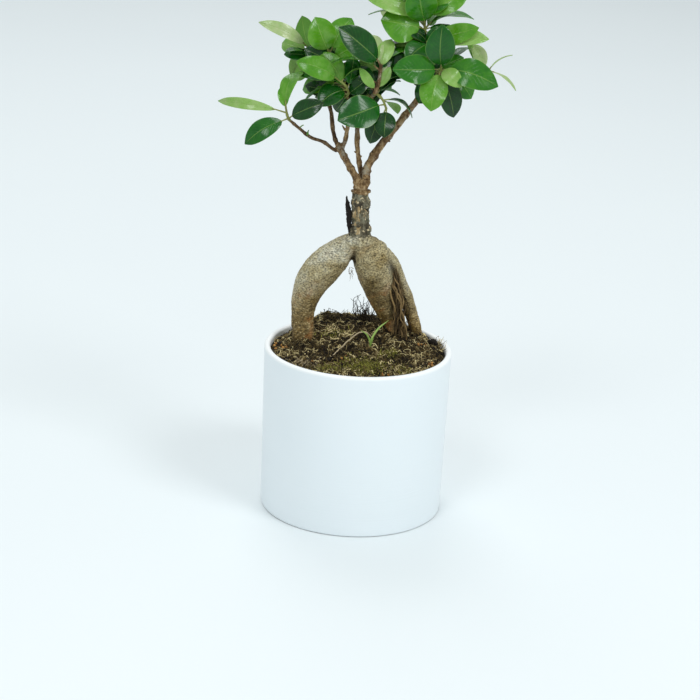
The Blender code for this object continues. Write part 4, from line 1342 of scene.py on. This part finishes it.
def make_litter():
    """Felted fibres, crumbs, moss and standing curls over the soil."""
    rng = np.random.default_rng(LITTER_SEED)
    material = fibre_material("peat_fibre", (0.004, 0.002, 0.001), (0.86, 0.72, 0.37))
    ramp = next(n for n in material.node_tree.nodes if n.type == "VALTORGB")
    middle = ramp.color_ramp.elements.new(0.45)
    middle.color = (0.150, 0.102, 0.032, 1)
    felt = Shape()
    for count, length, height, thick, low, high in (
        (2500, (4, 12), (0.3, 2.2), (0.18, 0.44), 0.0, 0.95),
        (750, (9, 20), (0.8, 3.4), (0.16, 0.36), 0.3, 1.0),
        (260, (10, 20), (2.0, 5.5), (0.12, 0.28), 0.0, 0.35),
    ):
        paths = fibre_paths(rng, count, length, height)
        add_strands(felt, paths, taper(count, 8, thick, rng), 4, patchy(rng, paths, low, high, 1.2))
    felt.to_object("felt_fibres", [material], "planting")
    crumbs = Shape()
    count = 3300
    place = fibre_paths(rng, count, (0.1, 0.2), (0, 0.01), 64.0, 2)[:, 0]
    size = np.minimum(rng.gamma(2.2, 0.29, count) + 0.32, 1.6)
    heading = rng.normal(0, 1, (count, 3)) * np.array([1, 1, 0.5])
    heading /= np.linalg.norm(heading, axis=1, keepdims=True)
    t = np.array([-1.0, -0.8, -0.2, 0.5, 0.95, 1.02])
    paths = place[:, None] + heading[:, None] * (t[None, :, None] * size[:, None, None] * 1.15)
    paths += rng.normal(0, 0.12, paths.shape) * size[:, None, None]
    girth = np.array(
        [0.05, 0.6, 1.0, 0.9, 0.5, 0.05]
    ) * rng.uniform(0.7, 1.25, (count, 6)) * size[:, None] * 0.8
    add_strands(crumbs, paths, girth, 6, patchy(rng, paths, 0, 1, 1.8))
    crumbs.to_object("soil_crumbs", [material], "planting")
    make_moss(rng)
    make_edge_fibres(rng, material)


def make_moss(rng):
    material = fibre_material("living_moss", (0.030, 0.028, 0.004), (0.42, 0.40, 0.075), 0.8)
    moss = Shape()
    places = []
    while len(places) < 1900:
        x, y = rng.uniform(-45, 40), rng.uniform(-58, 20)
        if math.hypot(x, y) < 63 and rng.uniform() < moss_share(x, y) ** 1.3:
            places.append((x, y))
    flat = np.array(places)
    base = np.concatenate([flat, surface_level(flat)[:, None]], -1)
    lean = rng.normal(0, 0.75, (len(base), 3))
    lean[:, 2] = rng.uniform(0.8, 1.6, len(base))
    t = np.linspace(0, 1, 5)
    paths = base[:, None] + lean[:, None] * (
        t[None, :, None] * rng.uniform(1.0, 2.6, len(base))[:, None, None]
    )
    paths += rng.normal(0, 0.14, paths.shape) * t[None, :, None]
    girth = rng.uniform(0.18, 0.34, len(base))[:, None] * np.array([0.6, 1, 1, 0.8, 0.15])
    add_strands(moss, paths, girth, 4, rng.uniform(0, 1, len(base)))
    moss.to_object("moss_shoots", [material], "planting")


def curly(rng, start, heading, length, curl, steps, rise):
    """A free curling strand from a point: heading and curl are in radians."""
    point = np.array(start, float)
    path = [point.copy()]
    pitch = rise
    for _ in range(steps - 1):
        heading += rng.normal(curl, 0.35)
        pitch += rng.normal(0, 0.30) - 0.15 * (pitch - rise)
        step = np.array(
            (
                math.cos(heading) * math.cos(pitch), math.sin(heading) * math.cos(pitch),
                math.sin(pitch),
            )
        )
        point = point + step * length / steps
        path.append(point.copy())
    return np.array(path)


def make_edge_fibres(rng, material):
    """Dark curls that stand on the soil's back edge, over its right rim and in the tuft."""
    curls = Shape()
    paths, radii, tones = [], [], []
    for _ in range(150):
        a = math.radians(rng.uniform(48, 132))
        x, y = 57 * math.cos(a) + rng.normal(0, 2), 52 * math.sin(a) + rng.normal(0, 4)
        z = mat_height(x, y) + 0.5
        paths.append(
            curly(
                rng, (x, y, z), rng.uniform(0, 6.3), rng.uniform(5, 12), rng.normal(0, 0.35), 18,
                0.55,
            )
        )
        radii.append(np.linspace(rng.uniform(0.2, 0.4), 0.08, 18))
        tones.append(rng.uniform(0, 0.4))
    add_strands(curls, paths, radii, 5, tones)
    paths, radii = [], []
    for _ in range(30):
        x, y = rng.normal(4, 2.8), rng.normal(31, 2.4)
        z = mat_height(x, y) + 0.6
        start, length = (x, y, z), rng.uniform(12, 30)
        paths.append(curly(rng, start, rng.uniform(0, 6.3), length, rng.normal(0, 0.55), 26, 0.85))
        radii.append(np.linspace(rng.uniform(0.3, 0.5), 0.16, 26))
    add_strands(curls, paths, radii, 6, rng.uniform(0, 0.10, len(paths)))
    curls.to_object("dark_curls", [material], "planting", ["moss_tuft"])
    over = Shape()
    paths = []
    for _ in range(16):
        a = math.radians(rng.uniform(2, 22))
        paths.append(
            curly(
                rng, (62 * math.cos(a), 62 * math.sin(a), 123.4), a, rng.uniform(6, 11),
                rng.normal(0, 0.12), 12, 0.42,
            )
        )
    add_strands(
        over, paths, [np.linspace(0.3, 0.1, 12)] * len(paths), 5, rng.uniform(0.1, 0.9, len(paths)),
    )
    over.to_object("rim_fibres", [material], "planting")


def make_soil_pieces():
    rng = np.random.default_rng(SOIL_PIECES_SEED)
    make_bark_pieces()
    make_orange_crumbs(rng)
    make_pale_roots(rng)
    make_sprout()


def make_bark_pieces():
    chips = bmesh.new()
    add_tube(chips, [(53, 20, 124.4, 1.2), (56, 17, 126.4, 2.2), (59, 14.5, 125.4, 1.3)], 14, 6)
    for x, y, size in (
        (57, 6, 2.2), (-58, 4, 1.7), (-22, -30, 1.9), (40, -34, 1.6), (-36, -30, 1.4),
        (10, -56, 1.5),
    ):
        level = mat_height(x, y) + 1.4
        lump(chips, (x, y, level), (size * 1.5, size * 0.9, size * 0.6))
    displace(chips, [(4, 0.5), (1.2, 0.25)])
    charred = fibre_material("charred_bark", (0.012, 0.009, 0.006), (0.06, 0.042, 0.024), 0.9)
    finish_object("bark_pieces", chips, [charred], "planting", ["bark_chip"])


def make_orange_crumbs(rng):
    bits = Shape()
    paths, radii = [], []
    spots = [
        (-60.5, 3), (-57, -6), (55.8, -20.7), (53, -25), (-33, -36), (20, -52), (47, 8), (-12, -24),
    ]
    for x, y in spots * 3:
        x, y = x + rng.normal(0, 1.6), y + rng.normal(0, 1.6)
        z = mat_height(x, y) + 1.0
        paths.append(curly(rng, (x, y, z), rng.uniform(0, 6.3), rng.uniform(2, 4), 0.1, 6, 0.2))
        radii.append(np.array([0.2, 0.8, 1.1, 1.0, 0.7, 0.1]) * rng.uniform(0.6, 1.1))
    add_strands(bits, paths, radii, 7, rng.uniform(0.2, 1, len(paths)))
    orange = fibre_material("orange_bits", (0.16, 0.06, 0.015), (0.55, 0.27, 0.07), 0.7)
    bits.to_object("orange_crumbs", [orange], "planting")


def make_pale_roots(rng):
    """The dead root that arches off the soil, and thin ones that lie on it."""
    pale = Shape()
    loop = [
        (-20, -24, 0.4), (-14, -17, 3.0), (-7, -10, 7.0), (0, -4, 9.6), (5, -1.6, 8.8),
        (9, 0.4, 5.0), (10.6, 1.4, 0.6),
    ]
    route = smooth_path([(x, y, mat_height(x, y) + rise, 0.6) for x, y, rise in loop], 8)
    centres = centre_line(route)
    centres += np.array([tuple(noise.noise_vector(Vector(p) / 4)) for p in centres]) * 0.5
    add_strand(pale, centres, np.full(len(centres), 0.5), 9, 0.7)
    for k in range(26):
        start = (-41 + rng.normal(0, 6), -36 + rng.normal(0, 2.5), 124.2)
        line = curly(
            rng, start, rng.normal(0.1, 0.35), rng.uniform(12, 24), rng.normal(0, 0.05), 20, 0.0,
        )
        line[:, 2] = surface_level(line[:, :2]) + 1.0 + 0.5 * np.sin(np.linspace(0, 3.1, 20) + k)
        add_strand(pale, line, np.linspace(0.28, 0.14, 20), 5, rng.uniform(0.3, 1))
    tan = fibre_material("pale_roots", (0.17, 0.11, 0.05), (0.60, 0.49, 0.31), 0.7)
    pale.to_object("pale_root_fibres", [tan], "planting", ["arching_root"])


def make_sprout():
    """Three blades of grass: points with radii, and tone."""
    sprout = Shape()
    x, y = 9, -6
    level = mat_height(x, y)
    blades = [
        (
            [
                (x, y, level, 0.7), (x + 1, y + 0.6, level + 7, 0.8),
                (x + 5.5, y + 3, level + 14, 0.75), (x + 12.5, y + 5, level + 20, 0.15),
            ],
            0.75,
        ),
        (
            [
                (x, y, level, 0.6), (x - 0.6, y - 0.6, level + 5, 0.7),
                (x - 3.4, y - 1.2, level + 10.5, 0.6), (x - 7.6, y - 1.6, level + 13, 0.12),
            ],
            0.55,
        ),
        (
            [
                (x, y, level, 0.5), (x + 0.8, y - 0.8, level + 4, 0.55),
                (x + 2.4, y - 1.6, level + 8, 0.12),
            ],
            0.4,
        ),
    ]
    for points, tone in blades:
        route = smooth_path(points, 7)
        centres = centre_line(route)
        add_strand(sprout, centres, [p.w for p in route], 8, tone)
    grass = fibre_material("grass_green", (0.10, 0.20, 0.02), (0.42, 0.60, 0.16), 0.45)
    sprout.to_object("sprout_blades", [grass], "planting", ["grass_sprout"])


# -------------------------------------------------------- the root and its trunk


# Swellings of the root: centre and half-sizes
ROOT_LUMPS = [
    ((-3, -1.5, 206.5), (12, 8, 6.5)),
    ((4.5, 2, 204.6), (8, 7, 6)),
    ((9.5, 4.5, 201.6), (8.5, 6.5, 5.6)),
    ((-14, 0, 203), (9, 8, 6)),
    ((21, 12, 183), (5, 5, 12)),
    ((26, 17, 168), (4.5, 4, 10)),
    ((-24, -4.5, 193), (9, 5, 8)),
    ((-36, -1.5, 176), (7, 5, 9)),
    ((8, -2.5, 188), (9, 5, 12)),
    ((12.5, 3, 196.5), (8, 7, 7)),
    ((-44.5, 4.5, 134), (4.2, 3.2, 12)),
    ((-38, 4, 131), (3.2, 3, 10)),
    ((25, 20, 138), (3.6, 3.2, 12)),
]


def make_root():
    """The fused legs, with ribs towards their feet."""
    bm = bmesh.new()
    add_tube(bm, CROWN + [(-3.2, 0.6, 215, 6.8)], 28, 6)
    for leg, sides in ((LEFT_LEG, 28), (RIGHT_LEG, 28), (THIN_LEG, 20)):
        add_tube(bm, leg, sides, 6)
    add_lumps(bm, ROOT_LUMPS)
    bm = remeshed(bm, 0.75)
    relax(bm, 4)
    bm.normal_update()
    shade = bm.verts.layers.float.new("shade")
    for vertex in bm.verts:
        co = vertex.co
        low = float(smoothstep(172 - co.z, 0, 40))
        ribs = noise.noise(Vector((co.x / 3.4, co.y / 3.4, co.z / 26)))
        stipple = noise.noise(co / 1.1)
        grain = noise.noise(co / 2.6)
        swell = noise.noise(co / 12)
        move = 0.55 * swell + 0.22 * grain + 0.16 * stipple + low * (1.0 * ribs + 0.2 * grain)
        crotch = (co.x + 7.5 - 0.12 * (co.z - 190)) / 1.7
        crease = 0.0
        if co.y < 6 and 178 < co.z < 209:
            crease = math.exp(-crotch * crotch) * float(smoothstep(209 - co.z, 0, 18))
        move -= 2.8 * crease
        beside = math.exp(
            -(((co.x - 0.42 * (198 - co.z) - 17) / 2.4) ** 2)
        ) * float(smoothstep(198 - co.z, 0, 12))
        foot = float(smoothstep(131 - co.z, 0, 7)) * 0.5
        collar = float(smoothstep(co.z, 203, 211)) * 0.75 * max(noise.noise(co / 1.1) + 0.30, 0)
        # The shade attribute is painted shade in the crotch crease and in the crevice beside the
        # thin leg; it also darkens the feet and speckles the collar dark.
        vertex[shade] = min(0.95 * crease + 0.85 * beside * (co.y < 14) + foot + collar, 0.92)
        vertex.co = co + vertex.normal * move
    finish_object("root_body", bm, [root_material()], "planting", ["cast_root"])


def make_root_hairs():
    """The hanging aerial roots, and fine hairs that curl off the legs."""
    rng = np.random.default_rng(ROOT_HAIRS_SEED)
    hanging = Shape()
    for k in range(64):
        top = np.array((rng.uniform(18, 25), rng.uniform(6, 15), rng.uniform(166, 190)))
        foot = np.array((top[0] + rng.normal(8.2, 2.8), top[1] + rng.normal(8, 3.5), 126))
        t = np.linspace(0, 1, 26)[:, None]
        path = top + (foot - top) * t
        path[:, 0] += 3.0 * np.sin(math.pi * t[:, 0])
        path += np.array(
            [tuple(noise.noise_vector(Vector(p) / 7 + Vector((7 * k, 0, 0)))) for p in path]
        ) * 2.2
        thick = rng.uniform(0.18, 0.85)
        tone = rng.uniform(0, 1) ** 2
        add_strand(hanging, path, np.linspace(thick, thick * 0.6, 26), 7, tone)
    rough = fibre_material("aerial_root_skin", (0.014, 0.007, 0.003), (0.36, 0.24, 0.10), 0.85)
    replaced = ["aerial_root_front", "aerial_root_rear"]
    hanging.to_object("aerial_roots", [rough], "planting", replaced)
    hairs = Shape()
    spots = [
        (-9, -2, 187, -0.6, 14), (-6.5, 0, 184, -1.2, 9), (9, 1, 168, -1.0, 8),
        (13, 6, 160, -1.3, 10), (-27, 0, 176, -1.0, 5), (-38.5, 8, 150, -0.6, 5),
    ]
    for x, y, z, rise, length in spots:
        for _ in range(3):
            start = (x + rng.normal(0, 0.8), y + rng.normal(0, 0.8), z)
            path = curly(
                rng, start, rng.uniform(0, 6.3), length * rng.uniform(0.6, 1.1),
                rng.normal(0, 0.35), 22, rise,
            )
            add_strand(hairs, path, np.linspace(0.16, 0.07, 22), 5, rng.uniform(0, 0.5))
    hairs.to_object("root_hairs", [rough], "planting")


def make_neck():
    make_neck_bark()
    make_splinter()
    make_graft_ring()


# Knobs on the neck: centre and half-sizes
NECK_LUMPS = [
    ((-9.4, -1.4, 214), (2.0, 3.2, 5)),
    ((-9.0, -1.0, 227), (1.8, 2.4, 4)),
    ((2.6, -2.4, 216), (2.2, 3.0, 5)),
    ((-5.5, -6.0, 221), (2.6, 1.4, 2.4)),
    ((-1.2, -6.2, 231), (2.4, 1.2, 2.0)),
    ((-6.6, -5.6, 237), (2.0, 1.4, 2.6)),
    ((2.2, -1.0, 236), (1.2, 3.0, 4)),
]


def make_neck_bark():
    bm = bmesh.new()
    axis = [
        (-3.2, 1.0, 208, 8.4),
        (-3.2, 0.6, 213, 7.6),
        (-3.2, 0.6, 217, 6.7),
        (-3.5, 0.3, 226, 6.2),
        (-4, 0, 234, 6.4),
        (-4.4, 0, 243.6, 6.0),
    ]
    add_tube(bm, axis, 30, 6, 0.3)
    add_lumps(bm, NECK_LUMPS)
    bm = remeshed(bm, 0.42)
    relax(bm, 1)
    displace(bm, [(7, 0.7), (2.4, 0.65), (0.9, 0.3)])
    finish_object("neck_body", bm, [bark_material()], "planting", ["trunk_neck"])


def make_splinter():
    """The sliver of charred bark that stands off the neck's left side."""
    splinter = bmesh.new()
    add_tube(
        splinter,
        [
            (-9.6, -2.0, 212, 1.7), (-11.2, -2.4, 219, 1.7), (-11.9, -2.0, 227, 2.1),
            (-13.1, -1.5, 234, 1.7), (-14.2, -1.2, 240.6, 0.3),
        ],
        12, 10,
    )
    splinter = remeshed(splinter, 0.22)
    displace(splinter, [(2.2, 0.45), (0.8, 0.2)])
    dark = fibre_material("charred_splinter", (0.010, 0.008, 0.006), (0.05, 0.035, 0.02), 0.9)
    finish_object("splinter", splinter, [dark], "planting", ["neck_splinter"])


def make_graft_ring():
    """The pale collar where the branches are grafted."""
    ring = bmesh.new()
    count = 40
    loop = []
    for k in range(count + 1):
        a = TURN * k / count
        reach = 6.1 + 0.5 * math.sin(3 * a + 1)
        loop.append(
            (
                -4.5 + reach * math.cos(a), reach * math.sin(a), 244.4 + 0.6 * math.sin(2 * a),
                1.0 + 0.25 * math.sin(5 * a),
            )
        )
    add_tube(ring, loop, 12, 2)
    lump(ring, (-4.5, 0, 244.6), (5.8, 5.8, 2.2))
    ring = remeshed(ring, 0.4)
    displace(ring, [(3, 0.6), (1.0, 0.25)])
    finish_object("graft_ring", ring, [twig_material()], "planting", ["graft_collar"])


def make_knots():
    """Rounded bark where branches part, so that each joint turns inside one."""
    twig = twig_material()
    knots = {
        "fork_knot": (
            "planting", ["fork_socket"],
            [
                ((-4.4, 0.4, 247.4), (5.4, 5.2, 3.4)), ((-6.8, -0.6, 251.4), (3.5, 3.5, 4.2)),
                ((-1.2, -0.4, 251.6), (3.8, 3.8, 4.4)), ((-4, 3.9, 251.6), (2.8, 2.8, 3.6)),
            ],
        ),
        "left_knot": (
            "left_branch", [],
            [
                ((-20.8, -1.8, 276.4), (2.9, 2.7, 3.2)), ((-22.8, -2.7, 275.6), (2.1, 2.0, 2.0)),
                ((-21.8, -0.6, 278.0), (2.2, 2.2, 2.4)), ((-19.2, -1.8, 278.2), (2.0, 2.0, 2.4)),
            ],
        ),
        "right_top_knot": (
            "right_branch", [],
            [((39.8, 8.4, 324.2), (2.5, 2.7, 2.7)), ((40.4, 10, 326.6), (2.0, 2.2, 2.2))],
        ),
        "right_outer_knot": (
            "right_branch", [],
            [((46.6, 4.6, 333.2), (2.1, 2.1, 2.1)), ((48.6, 6.3, 333.5), (1.8, 1.8, 1.7))],
        ),
        "centre_knot": (
            "centre_branch", [],
            [
                ((-0.6, -0.6, 314.4), (2.1, 2.1, 2.2)), ((1.2, -4.0, 316.8), (1.7, 2.0, 1.7)),
                ((2.8, -6.6, 319.2), (1.7, 1.7, 2.0)),
            ],
        ),
        "left_front_knot": ("left_branch", [], [((-17.4, -0.4, 313.2), (1.8, 1.9, 1.9))]),
    }
    for name, (body, replaced, lumps) in knots.items():
        bm = bmesh.new()
        add_lumps(bm, lumps)
        bm = remeshed(bm, 0.35)
        relax(bm, 3)
        displace(bm, [(4, 0.35), (1.3, 0.25)])
        finish_object(name, bm, [twig], body, replaced)


# ------------------------------------------------------------ branches and leaves


def make_branches():
    """Bark over each branch, swollen at its buds, with the stubs on its sides."""
    twig, dark_twig = twig_material(), twig_material("dark_twig_bark", DARK_TWIG)
    for number, (name, (body, points)) in enumerate(BRANCHES.items()):
        shape = Shape()
        centres, radii = stem_strand(points, 9, 0.22, 3 + number * 2)
        add_strand(shape, centres, radii, 18, 0.5)
        for owner, start, end, thick in STUBS:
            if owner == name:
                path = np.linspace(start, end, len(STUB_TAPER))
                add_strand(shape, path, thick * STUB_TAPER, 10, 0.5)
        bark = dark_twig if name == "mid_left_branch" else twig
        obj = shape.to_object(f"{name}_bark", [bark], body, [name])
        roughen(obj, [(3.0, 0.28), (1.1, 0.16)])


def roughen(obj, lumps):
    """Pushes a finished piece's vertices out and in by the sum of (size, height) lumps of noise."""
    mesh = obj.data
    for vertex, normal in zip(mesh.vertices, mesh.vertex_normals):
        point = vertex.co / MM
        move = sum(height * noise.noise(point / size) for size, height in lumps)
        vertex.co += Vector(normal.vector) * move * MM


def make_sprigs():
    """Each sprig's stem, its leaves and the small ones that fill behind them."""
    top, under = leaf_material("leaf_top", False), leaf_material("leaf_under", True)
    stem, twig = stem_material(), twig_material()
    woody = {"low_left_twig": twig_material("dark_twig_bark", DARK_TWIG), "hero_sprig": twig}
    for number, (name, (body, points, leaves)) in enumerate(SPRIGS.items()):
        rng = np.random.default_rng(FIRST_SPRIG_SEED + number)
        shape = Shape()
        centres, radii = stem_strand(points, 9, 0.25, number)
        add_strand(shape, centres, radii * STEM_GIRTH.get(name, 1.0), 12, 0.5, 2)
        path = smooth_path(points, 6)
        for place, *form, tone in leaves:
            spot = place * (len(path) - 1)
            i = min(int(spot), len(path) - 2)
            base = np.array(path[i].lerp(path[i + 1], spot - i).to_3d())
            azimuth, lift, length, width, *rest = form
            broad = width * (1.12 if width > 8 else 1.0)
            add_leaf(shape, base, azimuth, lift, length * 1.06, broad, *rest, tone, rng)
        for place, tip, width, side, droop, tone in FILLERS.get(name, ()):
            base = path[min(int(place * (len(path) - 1)), len(path) - 1)].to_3d()
            reach = Vector(tip) - base
            azimuth = math.degrees(math.atan2(reach.y, reach.x))
            lift = math.degrees(math.asin(reach.z / reach.length))
            add_leaf(
                shape, np.array(base), azimuth, lift, reach.length, width, side, droop, tone, rng,
                0.32,
            )
        bark = woody.get(name, stem)
        shape.to_object(f"{name}_foliage", [top, under, bark], body, [name], 50)


# -------------------------------------------------------------- floor and light


def make_studio():
    bpy.ops.mesh.primitive_plane_add(size=30, location=(0, 0, 0))
    floor = bpy.context.object
    floor.name = "studio_floor"
    floor.data.materials.append(floor_material())
    world = bpy.data.worlds.new("soft_white_room")
    world.use_nodes = True
    background = world.node_tree.nodes["Background"]
    background.inputs["Color"].default_value = (0.895, 0.945, 0.958, 1)
    background.inputs["Strength"].default_value = 0.71
    bpy.context.scene.world = world
    for name, place, size, power in (
        ("key_right", (1.5, -1.3, 2.0), 0.9, 22),
        ("sheen_left", (-0.8, -1.65, 2.15), 0.75, 13),
        ("window_behind", (-0.4, 1.5, 2.4), 1.4, 17),
    ):
        light = bpy.data.lights.new(name, "AREA")
        light.size = size
        light.energy = power
        light.color = (0.97, 0.99, 1.0)
        obj = bpy.data.objects.new(name, light)
        obj.location = place
        obj.rotation_euler = (
            Vector((0, 0, 0.22)) - Vector(place)
        ).to_track_quat("-Z", "Y").to_euler()
        bpy.context.scene.collection.objects.link(obj)
    bpy.context.scene.view_settings.view_transform = "Standard"


def make_camera():
    data = bpy.data.cameras.new("camera")
    data.lens = LENS_MM
    data.sensor_width = SENSOR_WIDTH_MM
    data.clip_end = 40
    camera = bpy.data.objects.new("camera", data)
    down = CAMERA_ELEVATION + CAMERA_TILT
    ahead = Vector(
        (
            math.sin(CAMERA_PAN) * math.cos(down), math.cos(CAMERA_PAN) * math.cos(down),
            -math.sin(down),
        )
    )
    level = ahead.cross(Vector((0, 0, 1))).normalized()
    above = level.cross(ahead)
    right = level * math.cos(CAMERA_ROLL) + above * math.sin(CAMERA_ROLL)
    top = above * math.cos(CAMERA_ROLL) - level * math.sin(CAMERA_ROLL)
    away = CAMERA_DISTANCE * math.cos(CAMERA_ELEVATION)
    rise = CAMERA_DISTANCE * math.sin(CAMERA_ELEVATION)
    place = Vector((0, -away, CAMERA_AIM_Z + rise))
    turned = Matrix((right, top, -ahead)).transposed().to_4x4()
    camera.matrix_world = Matrix.Translation(place) @ turned
    bpy.context.scene.collection.objects.link(camera)
    bpy.context.scene.camera = camera


# The vector noise that strands wander by is the same in each run only when it is seeded.
noise.seed_set(WANDER_SEED)
make_pot()
make_core()
make_rods()
make_soil()
make_litter()
make_soil_pieces()
make_root()
make_root_hairs()
make_neck()
make_knots()
make_branches()
make_sprigs()
make_studio()
make_camera()
